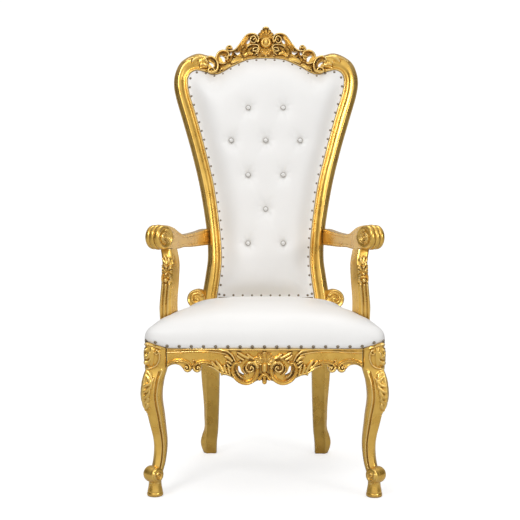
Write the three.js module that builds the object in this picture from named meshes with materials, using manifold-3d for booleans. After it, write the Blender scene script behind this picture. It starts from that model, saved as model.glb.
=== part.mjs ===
// A high-backed carved armchair: a gilded wooden frame with white buttoned upholstery.
// Millimetres, +Z up, the sitter faces -Y, and the feet stand on Z = 0.
import * as THREE from 'three';
import { mergeVertices } from 'three/addons/utils/BufferGeometryUtils.js';
import Module from 'manifold-3d';

const wasm = await Module();
wasm.setup();

// ---------------------------------------------------------------- driving dimensions
const GAP = 0.35;                       // clearance kept between pieces that touch
const PLAN_SHIFT_Y = -7;                // brings the middle of the plan to Y = 0

const SEAT_RAIL_TOP = 444;
const RAIL_TOP = SEAT_RAIL_TOP - GAP;
const SEAT_CROWN = 568;
const APRON_HALF = 287.7;
const APRON_FRONT = -298;
const APRON_BOW = 20;
const APRON_THICK = 26;

const FRONT_LEG = { x: 319.5, y: -268.5, half: 31.5 };
const BLOCK_LIP = 17;                   // rise of the corner block above the rails
const REAR_LEG = { inner: 158, outer: 221, front: 184, depth: 56, rake: 66 };

const RAIL = { thick: 28, low: 386, bow: 10, rise: 10 };
const BOARD = { thick: 18, clear: 1 };
const SEAT_PLAN = { frontY: -300, rearY: 184, frontX: 350, rearX: 230 };

const BACK_Y = 195;                     // face of the back frame where it passes SEAT_LINE
const SEAT_LINE = 560;
const RAKE = 0.123;                     // how far the back leans for each unit of height
const BACK_DEPTH = 48;
const STILE = { flank: 17, slim: 8, foot: [234, 545], drum: 33 };
const BACK_RAIL = { half: 176, front: 8, back: 40 };
const BACK_MIDDLE = 970;                // height the back panel's ring closes to
const OPENING_LOW = 552;                // top of the bottom rail, where the back cushion starts
const CREST_SPLIT = 202;                // where crest rail and stiles meet, from the middle

const ARM = { x: 321, y: -200, z: 766, rearX: 213, rearY: 215, width: 34, edge: 6 };
const HAND_HALF = 26;                   // half the length of the turned hand scroll
const POST = { width: 36, depth: 54, top: 727, aside: -17, ahead: -22 };

const BUTTON_RADIUS = 8.5;
const BUTTONS = [[60, 1200], [118, 1087], [0, 1087], [60, 969], [0, 852], [60, 736]];

// Paired edge points of a stile, inner then outer, from its foot to the crest rail.
const STILE_EDGES = [
  [168, 444.4, 224, 444.4], [167, 540, 220, 540], [156, 620, 208, 622], [151, 690, 200, 690],
  [158, 790, 206, 786], [179, 935, 229, 926], [210, 1062, 258, 1047], [241, 1175, 289, 1155],
  [263, 1258, 314, 1247], [271, 1303, 324, 1300], [268, 1326, 319, 1343], [257, 1340, 300, 1379],
  [240, 1343, 264, 1404], [220, 1339, 234, 1410], [CREST_SPLIT, 1335, CREST_SPLIT, 1405],
];
// Lower edge of the crest rail, from its end to the middle.
const CREST_EDGE = [[CREST_SPLIT, 1335], [181, 1331], [151, 1343], [108, 1364], [66, 1377], [0, 1384]];

const GOLD = { color: 0xd9a84c, roughness: 0.38, metalness: 0.85 };
const LEATHER = { color: 0xf2f1ee, roughness: 0.5, metalness: 0 };
const CRYSTAL = { color: 0xe4e2dd, roughness: 0.12, metalness: 0 };
const LINING = { color: 0x2b2a29, roughness: 0.95, metalness: 0 };

// ---------------------------------------------------------------- solids
const lerp = THREE.MathUtils.lerp;
const clamp = THREE.MathUtils.clamp;
const bump = (t) => Math.sin(Math.PI * clamp(t, 0, 1));

function solidOf(points, triangles) {
  let volume = 0;
  for (let i = 0; i < triangles.length; i += 3) {
    const [a, b, c] = [points[triangles[i]], points[triangles[i + 1]], points[triangles[i + 2]]];
    volume += a[0] * (b[1] * c[2] - b[2] * c[1]);
    volume += a[1] * (b[2] * c[0] - b[0] * c[2]);
    volume += a[2] * (b[0] * c[1] - b[1] * c[0]);
  }
  const triVerts = Uint32Array.from(volume < 0 ? [...triangles].reverse() : triangles);
  const vertProperties = Float32Array.from(points.flat());
  return new wasm.Manifold(new wasm.Mesh({ numProp: 3, vertProperties, triVerts }));
}

// Skins a row of rings that all have the same number of points, and closes both ends.
function loft(rings) {
  const sides = rings[0].length;
  const points = rings.flat();
  const triangles = [];
  for (let i = 0; i < rings.length - 1; i++) {
    for (let j = 0; j < sides; j++) {
      const a = i * sides + j;
      const b = i * sides + (j + 1) % sides;
      triangles.push(a, b, b + sides, a, b + sides, a + sides);
    }
  }
  for (const [start, first] of [[0, true], [(rings.length - 1) * sides, false]]) {
    const ring = points.slice(start, start + sides);
    const middle = [0, 1, 2].map((k) => ring.reduce((sum, p) => sum + p[k], 0) / sides);
    const hub = points.push(middle) - 1;
    for (let j = 0; j < sides; j++) {
      const [a, b] = [start + j, start + (j + 1) % sides];
      triangles.push(...(first ? [hub, b, a] : [hub, a, b]));
    }
  }
  return solidOf(points, triangles);
}

// A three.js geometry as a solid, each of its points moved by the given function.
function fromGeometry(source, move = (p) => p) {
  const bare = source.index ? source.clone() : source;
  bare.deleteAttribute('normal');
  bare.deleteAttribute('uv');
  const merged = mergeVertices(bare, 1e-3);
  const flat = merged.getAttribute('position').array;
  const points = [];
  for (let i = 0; i < flat.length; i += 3) {
    points.push(move([flat[i], flat[i + 1], flat[i + 2]]));
  }
  const triangles = [];
  const index = merged.index.array;
  for (let i = 0; i < index.length; i += 3) {
    const [a, b, c] = [index[i], index[i + 1], index[i + 2]];
    if (a !== b && b !== c && c !== a) triangles.push(a, b, c);
  }
  return solidOf(points, triangles);
}

// A turned shape from [radius, height] points.
const lathe = (profile, sides) =>
  new THREE.LatheGeometry(profile.map(([r, h]) => new THREE.Vector2(r, h)), sides);

const union = (solids) => solids.reduce((sum, solid) => sum.add(solid));

function curveThrough(points, steps) {
  const curve = new THREE.CatmullRomCurve3(points.map((p) => new THREE.Vector3(p[0], p[1], 0)));
  return curve.getSpacedPoints(steps).map((p) => [p.x, p.y]);
}

function valueAt(table, x) {
  const last = table.length - 1;
  if (x <= table[0][0]) return table[0][1];
  if (x >= table[last][0]) return table[last][1];
  const i = table.findIndex((row) => row[0] > x) - 1;
  const t = (x - table[i][0]) / (table[i + 1][0] - table[i][0]);
  return lerp(table[i][1], table[i + 1][1], t * t * (3 - 2 * t));
}

// ---------------------------------------------------------------- carving
// Carving is drawn in (across, up) and raised by a height; place() sets it on its surface.

const COIL_STEPS = 6;

// One coil of a volute, from its outer end inwards; turns is signed, anticlockwise positive.
function coil(eye, radius, fromDegrees, turns) {
  const steps = Math.ceil(Math.abs(turns) * COIL_STEPS);
  const points = [];
  for (let i = 0; i <= steps; i++) {
    const t = i / steps;
    const angle = THREE.MathUtils.degToRad(fromDegrees) + turns * t * 2 * Math.PI;
    const r = radius * (1 - 0.72 * t);
    points.push([eye[0] + r * Math.cos(angle), eye[1] + r * Math.sin(angle)]);
  }
  return points;
}

const RIDGE = [[-0.5, 0], [0, 1], [0.5, 0]];
const FLAT = [[-0.5, 0], [-0.3, 1], [0.3, 1], [0.5, 0]];
const SLOT = [[-0.5, 0], [-0.5, 1], [0.5, 1], [0.5, 0]];

// A carved band along a path, ridged or flat in front, tapering towards both of its ends.
function band(path, { width, height, back = -8, ends = [0.5, 0.5], section = RIDGE, place }) {
  const rings = path.map((p, i) => {
    const before = path[Math.max(i - 1, 0)];
    const after = path[Math.min(i + 1, path.length - 1)];
    const along = Math.hypot(after[0] - before[0], after[1] - before[1]) || 1;
    const side = [-(after[1] - before[1]) / along, (after[0] - before[0]) / along];
    const t = i / (path.length - 1);
    const full = bump(t) ** 0.6;
    const w = width * lerp(lerp(ends[0], ends[1], t), 1, full);
    const h = height * lerp(lerp(ends[0], ends[1], t), 1, full * 0.6);
    return section.map(([u, lift]) => {
      const [across, up] = [p[0] + side[0] * u * w, p[1] + side[1] * u * w];
      return place(across, up, lerp(back, h, lift));
    });
  });
  return loft(rings);
}

// A half-sunk bead, cabochon or eye.
function boss([x, z], rx, rz, height, place, around = 6, rows = 4) {
  return fromGeometry(new THREE.SphereGeometry(1, around, rows), ([a, b, c]) =>
    place(x + a * rx, z + b * rz, c * height));
}

// A fan of rounded lobes that spring from one point.
function palmette([x, z], { lobes, spread, inner, outer, width, height, place, tilt = 90 }) {
  const fan = [];
  for (let i = 0; i < lobes; i++) {
    const side = lobes > 1 ? i / (lobes - 1) * 2 - 1 : 0;
    const angle = THREE.MathUtils.degToRad(tilt - side * spread);
    const reach = outer * (1 - 0.2 * side * side);
    const path = [];
    for (const r of [inner, lerp(inner, reach, 0.6), reach]) {
      path.push([x + r * Math.cos(angle), z + r * Math.sin(angle)]);
    }
    fan.push(band(path, { width, height, ends: [0.35, 0.75], place }));
  }
  return union(fan);
}

// A pointed leaf that follows a short path.
function leaf(path, width, height, place, steps = 3) {
  return band(curveThrough(path, steps), { width, height, ends: [0.25, 0.12], place });
}

// ---------------------------------------------------------------- front legs
// Bow of the leg along its diagonal, and half its thickness, by height.
const LEG_BOW = [
  [30, 6.5], [54, 4], [100, -6.5], [140, -10], [230, 1], [306, 12], [345, 8], [386, -1], [400, 0],
];
const LEG_HALF = [
  [30, 18], [54, 18], [140, 19.5], [230, 25], [306, 29.5], [345, 30], [386, 30],
  [400, FRONT_LEG.half],
];
const LEG_LEVELS = [42, 66, 100, 135, 175, 215, 255, 300, 345, 390, 402];
const LEG_AROUND = 36;                  // turns a distance around the leg into an angle
const FOOT_PROFILE = [
  [0, 0], [21, 0], [24.5, 6], [24, 15], [20.5, 20], [18.5, 42], [18.5, 56], [0, 56],
];
const FOOT_OUT = 6.5;
const FOOT_SIDES = 8;
const TOE = { out: 29, z: 71 };
const TOE_PROFILE = [[0, -18], [18, -16], [24.5, -5], [24.5, 6], [18, 15], [0, 16]];
const LEG_SIDES = 8;

// Point on a front leg: turn is the angle from its outer diagonal corner, out a raise above it.
function onLeg(turn, z, out, grow = 0) {
  const half = valueAt(LEG_HALF, z) + grow;
  const bow = valueAt(LEG_BOW, z);
  const [c, s] = [Math.cos(turn - Math.PI / 4), Math.sin(turn - Math.PI / 4)];
  const square = half / (Math.abs(c) ** 5 + Math.abs(s) ** 5) ** 0.2 + out;
  return [FRONT_LEG.x + bow + c * square, FRONT_LEG.y - bow + s * square, z];
}

// The carver's surface at a leg's corner: across is measured around the leg from the corner.
const legFace = (across, z, out) => onLeg(across / LEG_AROUND, z, out);

// Height of the block's top, which climbs towards the outer corner.
function blockTop([x, y]) {
  const reach = (x - FRONT_LEG.x + FRONT_LEG.y - y) / (2 * FRONT_LEG.half);
  return SEAT_RAIL_TOP + BLOCK_LIP * clamp(reach, 0, 1.15);
}

// The leg's shaft through the given heights and on up to the top of its block.
function legSolid(levels, grow = 0, lift = 0) {
  const ringAt = (z) => {
    const ring = [];
    for (let k = 0; k < LEG_SIDES; k++) {
      ring.push(onLeg((k / LEG_SIDES) * 2 * Math.PI, z, 0, grow));
    }
    return ring;
  };
  const top = ringAt(SEAT_RAIL_TOP).map((point) => [point[0], point[1], blockTop(point) + lift]);
  return loft([...levels.map(ringAt), top]);
}

function frontLeg() {
  const shaft = legSolid(LEG_LEVELS);
  const pad = fromGeometry(
    lathe(FOOT_PROFILE, FOOT_SIDES),
    ([x, y, z]) => [FRONT_LEG.x + FOOT_OUT + x, FRONT_LEG.y - FOOT_OUT - z, y],
  );
  const roll = fromGeometry(lathe(TOE_PROFILE, FOOT_SIDES), ([x, y, z]) => {
    const out = TOE.out + z;
    return [
      FRONT_LEG.x + out * Math.SQRT1_2 + y * Math.SQRT1_2,
      FRONT_LEG.y - out * Math.SQRT1_2 + y * Math.SQRT1_2,
      TOE.z + x,
    ];
  });
  const place = legFace;
  const carving = [];
  for (const side of [1, -1]) {
    const rim = [[side * 37, 432], [side * 33, 404], [side * 17, 383], [0, 377]];
    carving.push(band(curveThrough(rim, 4), { width: 9, height: 4, ends: [0.8, 1], place }));
    carving.push(leaf([[side * 2, 362], [side * 14, 336], [side * 14, 292]], 12, 7, place, 2));
  }
  const tongue = { lobes: 3, spread: 36, inner: 0, outer: 44, width: 15, height: 7, place };
  carving.push(palmette([0, 392], tongue));
  carving.push(leaf([[0, 374], [0, 330], [0, 255]], 11, 9, place, 2));
  return union([shaft, pad, roll, ...carving]);
}

// ---------------------------------------------------------------- rear legs
function rearLeg() {
  const { inner, outer, front, depth, rake } = REAR_LEG;
  const levels = [0, 14, 30, 48, 70, 110, 200, 320, 400, SEAT_RAIL_TOP];
  const rings = levels.map((z) => {
    const fall = 1 - z / SEAT_RAIL_TOP;
    const back = rake * fall ** 1.6;
    const heel = 9 * bump((z - 4) / 90) ** 2;
    const taper = lerp(0, 9, clamp(fall * 1.2, 0, 1));
    const [x0, x1] = [inner + 6 * fall + taper * 0.4, outer + 4 * fall - taper * 0.5];
    const [y0, y1] = [front + back, front + back + depth - taper * 1.2 + heel];
    const edge = lerp(16, 13, fall);
    return [
      [x0, y1, z], [x0, y0 + 4, z], [x0 + 4, y0, z], [(x0 + x1 - edge) / 2, y0 + 3, z],
      [x1 - edge, y0, z], [x1, y0 + 12, z], [x1, y1 - 8, z], [x1 - 8, y1, z],
    ];
  });
  return loft(rings);
}

// ---------------------------------------------------------------- seat rails and apron
const bowAt = (x) => APRON_BOW * (1 - (x / APRON_HALF) ** 2);
const apronFace = (x, z, out) => [x, APRON_FRONT - bowAt(x) - out, z];

// Lower edge of the apron by distance from the middle.
const APRON_LOW = [
  [0, 352], [20, 350], [44, 337], [66, 345], [92, 360], [112, 362], [128, 372],
  [150, 385], [180, 387], [212, 385], [226, 371], [244, 374], [262, 387], [APRON_HALF, 384],
];

function apron() {
  const stations = 16;
  const rings = [];
  for (let i = 0; i <= stations; i++) {
    const x = lerp(-APRON_HALF, APRON_HALF, i / stations);
    const low = valueAt(APRON_LOW, Math.abs(x));
    const section = [
      [-APRON_THICK, low], [0, low], [-1, 424], [-4, 431], [2, 437],
      [2, RAIL_TOP], [-APRON_THICK, RAIL_TOP],
    ];
    rings.push(section.map(([out, z]) => apronFace(x, z, out)));
  }
  const body = loft(rings);
  const place = apronFace;
  const carving = [];
  const pierced = [];
  for (const side of [1, -1]) {
    const at = (x, z) => [side * x, z];
    const facing = (degrees) => (side > 0 ? degrees : 180 - degrees);
    const heart = [
      ...coil(at(42, 386), 20, facing(0), side).reverse(), at(26, 354), at(46, 341), at(68, 347),
      at(85, 366), at(91, 388), at(77, 401),
    ];
    carving.push(band(heart, { width: 13, height: 13, ends: [0.5, 0.5], section: FLAT, place }));
    carving.push(leaf([at(84, 406), at(98, 425), at(122, 438)], 10, 9, place, 2));
    carving.push(leaf([at(58, 414), at(76, 420), at(98, 410)], 11, 9, place, 2));
    const ear = [
      ...coil(at(197, 383), 12, facing(0), -side).reverse(), at(196, 397), at(172, 399), at(144, 384),
      at(110, 363),
    ];
    carving.push(band(ear, { width: 10, height: 10, ends: [0.6, 0.7], place }));
    const outer = [
      ...coil(at(233, 382), 12, facing(180), side).reverse(), at(240, 397), at(262, 400),
      at(284, 389),
    ];
    carving.push(band(outer, { width: 10, height: 10, ends: [0.6, 0.7], place }));
    carving.push(leaf([at(118, 376), at(132, 388), at(136, 404)], 11, 8, place, 2));
    const opening = [at(57, 362), at(66, 371), at(70, 382)];
    const through = { width: 9, height: 30, back: -50, ends: [0.6, 0.6], section: SLOT, place };
    pierced.push(band(opening, through));
  }
  const shell = { lobes: 5, spread: 80, inner: 6, outer: 32, width: 12, height: 13, place };
  const husk = { lobes: 3, spread: 30, inner: 2, outer: 34, width: 11, height: 11, tilt: 270, place };
  carving.push(palmette([0, 399], shell));
  carving.push(boss([0, 386], 10, 14, 16, place, 8, 6));
  carving.push(palmette([0, 372], husk));
  return union([body, ...carving]).subtract(union(pierced));
}

// Outer face of the seat frame at a side, by the distance from its front end.
function sideX(y) {
  const t = (y - SEAT_PLAN.frontY) / (SEAT_PLAN.rearY - SEAT_PLAN.frontY);
  return lerp(SEAT_PLAN.frontX, SEAT_PLAN.rearX, t) + RAIL.bow * bump(t);
}

function sideRail() {
  const start = FRONT_LEG.y + FRONT_LEG.half + GAP;
  const end = REAR_LEG.front - GAP;
  const rings = [];
  for (let i = 0; i <= 10; i++) {
    const y = lerp(start, end, i / 10);
    const x = sideX(y) - 1;
    const low = RAIL.low + RAIL.rise * bump(i / 10);
    const section = [
      [-RAIL.thick, low], [-3, low], [0, low + 4], [-2, low + 10], [-2, 428], [1, 434],
      [0, RAIL_TOP], [-RAIL.thick, RAIL_TOP],
    ];
    rings.push(section.map(([out, z]) => [x + out, y, z]));
  }
  return loft(rings);
}

function boxSolid(x0, x1, y0, y1, z0, z1) {
  const ring = (z) => [[x0, y0, z], [x1, y0, z], [x1, y1, z], [x0, y1, z]];
  return loft([ring(z0), ring(z1)]);
}

function rearRail() {
  const half = REAR_LEG.inner - GAP;
  const front = REAR_LEG.front + 6;
  return boxSolid(-half, half, front, front + RAIL.thick, RAIL.low, RAIL_TOP);
}

// An outline given thickness, each point of the result set in place by the given function.
function extrusion(outline, depth, place) {
  const shape = new THREE.Shape(outline.map(([u, v]) => new THREE.Vector2(u, v)));
  const slab = new THREE.ExtrudeGeometry(shape, { depth, bevelEnabled: false });
  return fromGeometry(slab, ([u, v, w]) => place(u, v, w));
}

function seatBoard() {
  const front = APRON_FRONT + APRON_THICK + BOARD.clear;
  const legSide = FRONT_LEG.x - FRONT_LEG.half - BOARD.clear;
  const legBack = FRONT_LEG.y + FRONT_LEG.half + BOARD.clear;
  const half = [[legSide, front], [legSide, legBack]];
  for (let i = 0; i <= 6; i++) {
    const y = lerp(legBack, REAR_LEG.front - BOARD.clear, i / 6);
    half.push([sideX(y) - RAIL.thick - 2.5, y]);
  }
  const mirrored = half.map(([x, y]) => [-x, y]).reverse();
  const low = SEAT_RAIL_TOP - BOARD.thick;
  return extrusion([...half, ...mirrored], RAIL_TOP - low, (x, y, z) => [x, y, z + low]);
}

// ---------------------------------------------------------------- seat cushion
// Plan of the cushion by the angle around it: a rounded trapezium with a bowed front.
const CUSHION = { front: -317, rear: 179, frontX: 371, rearX: 220, dome: 2.8, fullness: 0.36 };

function cushionPoint(angle, scale) {
  const [c, s] = [Math.cos(angle), Math.sin(angle)];
  const square = 1 / (Math.abs(c) ** 12 + Math.abs(s) ** 12) ** (1 / 12);
  const [u, v] = [c * square * scale, s * square * scale];
  const t = (v + 1) / 2;
  const half = lerp(CUSHION.frontX, CUSHION.rearX, t) + RAIL.bow * bump(t) * 0.8;
  const bowed = -8 * (1 - u * u) * (1 - t) ** 2;
  return { u, v, x: u * half, y: lerp(CUSHION.front + 6, CUSHION.rear, t) + bowed };
}

function cushionHeight({ u, v }) {
  const across = 1 - Math.min(Math.abs(u), 1) ** CUSHION.dome;
  const along = 1 - Math.min(Math.abs(v), 1) ** (v > 0 ? 5 : 3.2);
  return (across * along) ** CUSHION.fullness;
}

function seatCushion(notches) {
  const around = 24;
  const base = SEAT_RAIL_TOP + GAP;
  const rise = SEAT_CROWN - base;
  const skirt = 9;
  const scales = [1, 0.97, 0.88, 0.7, 0.42];
  const rings = [];
  const ringAt = (scale, heightOf) => {
    const ring = [];
    for (let k = 0; k < around; k++) {
      const point = cushionPoint((k / around) * 2 * Math.PI, scale);
      ring.push([point.x, point.y, heightOf(point)]);
    }
    return ring;
  };
  rings.push(ringAt(0.985, () => base));
  for (const scale of scales) {
    rings.push(ringAt(scale, (p) => base + skirt + (rise - skirt) * cushionHeight(p)));
  }
  rings.push(ringAt(0.1, () => SEAT_CROWN));
  return loft(rings).subtract(union(notches));
}

// ---------------------------------------------------------------- the back
// Points of the back are drawn upright; this leans them with the height.
const onBack = (x, z, out) => [x, BACK_Y + (z - SEAT_LINE) * RAKE - out, z];

// A ring of points around a place on the back, a distance out from its face.
function backRing([x, z], radius, out, sides) {
  const ring = [];
  for (let k = 0; k < sides; k++) {
    const angle = (k / sides) * 2 * Math.PI;
    ring.push(onBack(x + radius * Math.cos(angle), z + radius * Math.sin(angle), out));
  }
  return ring;
}

const STILE_STEPS = 16;

function stileEdges(steps = STILE_STEPS) {
  const innerCurve = new THREE.CatmullRomCurve3(STILE_EDGES.map((p) => new THREE.Vector3(p[0], p[1], 0)));
  const outerCurve = new THREE.CatmullRomCurve3(STILE_EDGES.map((p) => new THREE.Vector3(p[2], p[3], 0)));
  const stations = [];
  for (let i = 0; i <= steps; i++) {
    stations.push([innerCurve.getPoint(i / steps), outerCurve.getPoint(i / steps)]);
  }
  return stations;
}

function stile(grow = 0) {
  const rings = stileEdges().map(([inner, outer], i) => {
    const width = Math.hypot(outer.x - inner.x, outer.y - inner.y);
    const flank = lerp(STILE.flank, STILE.slim, clamp(i / STILE_STEPS * 4 - 3, 0, 1));
    const face = width - flank;
    const section = [
      [0, -BACK_DEPTH], [0, -3], [4, 0], [9, -5], [face - 8, -6], [face - 2, 0], [width, -24],
      [width - 3, -BACK_DEPTH],
    ];
    return section.map(([along, out]) => {
      const t = (along + (along > face * 0.45 ? grow : -grow)) / width;
      return onBack(lerp(inner.x, outer.x, t), lerp(inner.y, outer.y, t), out + (out < -30 ? -grow : grow));
    });
  });
  const parts = [loft(rings)];
  const volute = STILE.foot;
  const levels = [[STILE.drum, -34], [STILE.drum, -3], [STILE.drum - 6, 2]];
  parts.push(loft(levels.map(([radius, out]) => backRing(volute, radius + grow, out, 10))));
  if (grow > 0) return union(parts);
  const place = onBack;
  parts.push(band(coil(volute, 26, 150, -1.3), { width: 7, height: 6, back: -4, place }));
  parts.push(boss(volute, 7, 7, 8, place));
  parts.push(leaf([[208, 1386], [240, 1398], [294, 1378]], 15, 8, place, 4));
  parts.push(leaf([[206, 1373], [230, 1382], [262, 1372]], 13, 7, place));
  return union(parts);
}

const CREST_STEPS = 5;
const CREST_THICK = 36;
const JOINT_VOLUTE = [186, 1342];
const CREST_CORE = [
  [-30, 1400], [30, 1400], [34, 1440], [24, 1468], [0, 1482], [-24, 1468], [-34, 1440],
];

function crestRail() {
  const place = onBack;
  const back = -34;
  const deep = (x, z, out) => place(x, z, out > 0 ? out : back);
  const edge = curveThrough(CREST_EDGE, CREST_STEPS);
  const limit = CREST_SPLIT - GAP;
  const line = [...edge.map(([x, z]) => [Math.min(x, limit), z])];
  const full = [...line, ...line.slice(0, -1).map(([x, z]) => [-x, z]).reverse()];
  const body = loft(full.map(([x, z]) => {
    const top = z + lerp(16, 31, bump((x / 80 + 1) / 2)) + 34 * clamp((Math.abs(x) - 160) / 20, 0, 1);
    const section = [
      [-CREST_THICK, z], [-3, z], [1, z + 5], [-4, z + 10], [-4, top], [-CREST_THICK, top],
    ];
    return section.map(([out, height]) => place(x, height, out));
  }));
  const carving = [];
  for (const side of [1, -1]) {
    const at = (x, z) => [side * x, z];
    const facing = (degrees) => (side > 0 ? degrees : 180 - degrees);
    const sweep = [
      ...coil(at(41, 1450), 15, facing(180), -side).reverse(), at(33, 1463), at(56, 1466),
      at(78, 1453), at(95, 1427), at(116, 1411), at(133, 1416), at(127, 1426),
    ];
    carving.push(band(sweep, { width: 15, height: 12, ends: [0.45, 0.4], section: FLAT, back, place }));
    const lower = [
      ...coil(at(35, 1408), 14, facing(0), side).reverse(), at(52, 1423), at(68, 1427), at(92, 1412),
    ];
    carving.push(band(lower, { width: 10, height: 11, ends: [0.6, 0.6], back, place }));
    carving.push(leaf([at(80, 1440), at(82, 1416), at(92, 1386)], 18, 9, deep, 2));
    carving.push(leaf([at(92, 1376), at(120, 1398), at(144, 1356)], 15, 9, deep, 2));
    const hook = [at(168, 1350), at(173, 1376), at(158, 1399), at(134, 1394)];
    carving.push(band(hook, { width: 11, height: 10, ends: [0.7, 0.7], back, place }));
    const joint = [
      ...coil(at(...JOINT_VOLUTE), 11, facing(180), -side).reverse(), at(167, 1352), at(166, 1378),
      at(182, 1399), at(197, 1396),
    ];
    carving.push(band(joint, { width: 10, height: 13, ends: [0.6, 0.7], back, place }));
  }
  const shell = { lobes: 5, spread: 84, inner: 4, outer: 30, width: 12, height: 12, place };
  const husk = { lobes: 3, spread: 30, inner: 0, outer: 37, width: 11, height: 11, tilt: 270, place };
  carving.push(palmette([0, 1462], shell));
  carving.push(boss([0, 1443], 23, 21, 9, place, 8, 4));
  carving.push(boss([0, 1443], 13, 13, 17, place, 8, 6));
  carving.push(palmette([0, 1428], husk));
  const web = extrusion(CREST_CORE, 30, (x, z, depth) => place(x, z, -4 - depth));
  const ends = boxSolid(-limit, limit, 0, 500, 1200, 1600);
  return union([body, web, ...carving]).intersect(ends);
}

function backBottomRail(cutters) {
  const { half, front, back } = BACK_RAIL;
  const corners = [[-half, -front], [half, -front], [half, -back], [-half, -back]];
  const ring = (z) => corners.map(([x, out]) => onBack(x, z, out));
  return loft([ring(SEAT_RAIL_TOP + GAP), ring(OPENING_LOW - GAP)]).subtract(union(cutters));
}

// Half of the opening inside the back frame, drawn in by an inset: its side, then its top.
function openingHalf(inset) {
  const side = stileEdges().map(([p]) => [p.x, p.y]);
  const above = side.findIndex(([, z]) => z > OPENING_LOW + 10);
  const [below, next] = [side[above - 1], side[above]];
  const footX = lerp(below[0], next[0], (OPENING_LOW - below[1]) / (next[1] - below[1]));
  const crest = curveThrough(CREST_EDGE, CREST_STEPS).slice(1);
  const half = [[footX, OPENING_LOW], ...side.slice(above), ...crest];
  return half.map((p, i) => {
    const before = i === 0 ? [p[0], p[1] - 1] : half[i - 1];
    const after = i === half.length - 1 ? [-half[i - 1][0], half[i - 1][1]] : half[i + 1];
    const length = Math.hypot(after[0] - before[0], after[1] - before[1]);
    const x = i === half.length - 1 ? 0 : p[0] - inset * (after[1] - before[1]) / length;
    return [x, p[1] + inset * (after[0] - before[0]) / length];
  });
}

const mirrorPoint = ([x, z]) => [-x, z];

// The opening as a grid of points: rows climb between its sides, and the last is its top edge.
function openingGrid(inset) {
  const half = openingHalf(inset);
  const corner = half.findIndex(([, z]) => z > 1295);
  const sides = half.slice(0, corner + 1);
  const topHalf = half.slice(corner);
  const top = [...topHalf.slice(0, -1).map(mirrorPoint), ...topHalf.slice().reverse()];
  const columns = top.length - 1;
  return sides.map(([x, z], i) => {
    const v = i / (sides.length - 1);
    return top.map(([tx, tz], j) => {
      const u = j / columns;
      const even = lerp(-1, 1, u);
      const flatTop = sides[sides.length - 1];
      const shift = v ** 2;
      return [lerp(even * x, tx * x / flatTop[0], shift), z + (tz - flatTop[1]) * shift];
    });
  });
}

const CUSHION_BACK = 9 - BACK_DEPTH;
const CUSHION_EDGE = -6;
const CUSHION_CROWN = 40;
const DIMPLE = { depth: 12, radius: 26 };
const BUTTON_PLACES = BUTTONS.flatMap(([x, z]) => (x ? [[-x, z], [x, z]] : [[0, z]]));

// How far the back cushion stands out at a place: full in the middle, pulled in at each button.
function crownAt(x, z, u, v) {
  const crown = CUSHION_CROWN * ((1 - u ** 4) * (1 - v ** 8)) ** 0.5;
  const pull = BUTTON_PLACES.map(([bx, bz]) =>
    Math.exp(-((x - bx) ** 2 + (z - bz) ** 2) / DIMPLE.radius ** 2));
  return CUSHION_EDGE + crown - DIMPLE.depth * Math.max(...pull) * (crown / CUSHION_CROWN);
}

// The face of the cushion as points and triangles.
function cushionFace() {
  const grid = openingGrid(1);
  const [rows, columns] = [grid.length, grid[0].length];
  const points = grid.flatMap((row, i) => row.map(([x, z], j) => {
    const [u, v] = [j / (columns - 1) * 2 - 1, i / (rows - 1) * 2 - 1];
    return [x, z, crownAt(x, z, u, v)];
  }));
  const triangles = [];
  for (let i = 0; i < rows - 1; i++) {
    for (let j = 0; j < columns - 1; j++) {
      const a = i * columns + j;
      triangles.push(a, a + 1, a + columns + 1, a, a + columns + 1, a + columns);
    }
  }
  return { grid, rows, columns, points, triangles };
}

// How far the face stands out over a place, found in the triangle that lies under it.
function faceOver(face, x, z) {
  for (let i = 0; i < face.triangles.length; i += 3) {
    const [a, b, c] = [0, 1, 2].map((k) => face.points[face.triangles[i + k]]);
    const area = (b[0] - a[0]) * (c[1] - a[1]) - (c[0] - a[0]) * (b[1] - a[1]);
    const p = ((b[0] - x) * (c[1] - z) - (c[0] - x) * (b[1] - z)) / area;
    const q = ((c[0] - x) * (a[1] - z) - (a[0] - x) * (c[1] - z)) / area;
    if (p >= 0 && q >= 0 && p + q <= 1) return p * a[2] + q * b[2] + (1 - p - q) * c[2];
  }
  return 0;
}

function backCushion(face) {
  const { grid, rows, columns } = face;
  const points = face.points.map(([x, z, out]) => onBack(x, z, out));
  const triangles = [...face.triangles];
  const rim = [];
  for (let j = 0; j < columns; j++) rim.push([0, j]);
  for (let i = 1; i < rows; i++) rim.push([i, columns - 1]);
  for (let j = columns - 2; j >= 0; j--) rim.push([rows - 1, j]);
  for (let i = rows - 2; i > 0; i--) rim.push([i, 0]);
  const first = points.length;
  for (const [i, j] of rim) points.push(onBack(...grid[i][j], CUSHION_BACK));
  const hub = points.push(onBack(0, BACK_MIDDLE, CUSHION_BACK)) - 1;
  rim.forEach(([i, j], k) => {
    const next = (k + 1) % rim.length;
    const [a, b] = [i * columns + j, rim[next][0] * columns + rim[next][1]];
    triangles.push(a, first + k, first + next, a, first + next, b, hub, first + next, first + k);
  });
  // Room for the crest rail's volutes, which overhang the cushion.
  const volutes = [JOINT_VOLUTE, mirrorPoint(JOINT_VOLUTE)].map((eye) =>
    loft([backRing(eye, 20, -BACK_DEPTH, 6), backRing(eye, 20, 60, 6)]));
  return solidOf(points, triangles).subtract(union(volutes));
}

function backPanel() {
  const half = openingHalf(1);
  const outline = [...half, ...half.slice(0, -1).map(mirrorPoint).reverse()];
  const ringAt = (share, out) =>
    outline.map(([x, z]) => onBack(x * share, lerp(BACK_MIDDLE, z, share), out));
  return loft([ringAt(1, CUSHION_BACK - GAP), ringAt(1, -BACK_DEPTH), ringAt(0.93, -BACK_DEPTH - 6)]);
}

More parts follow.
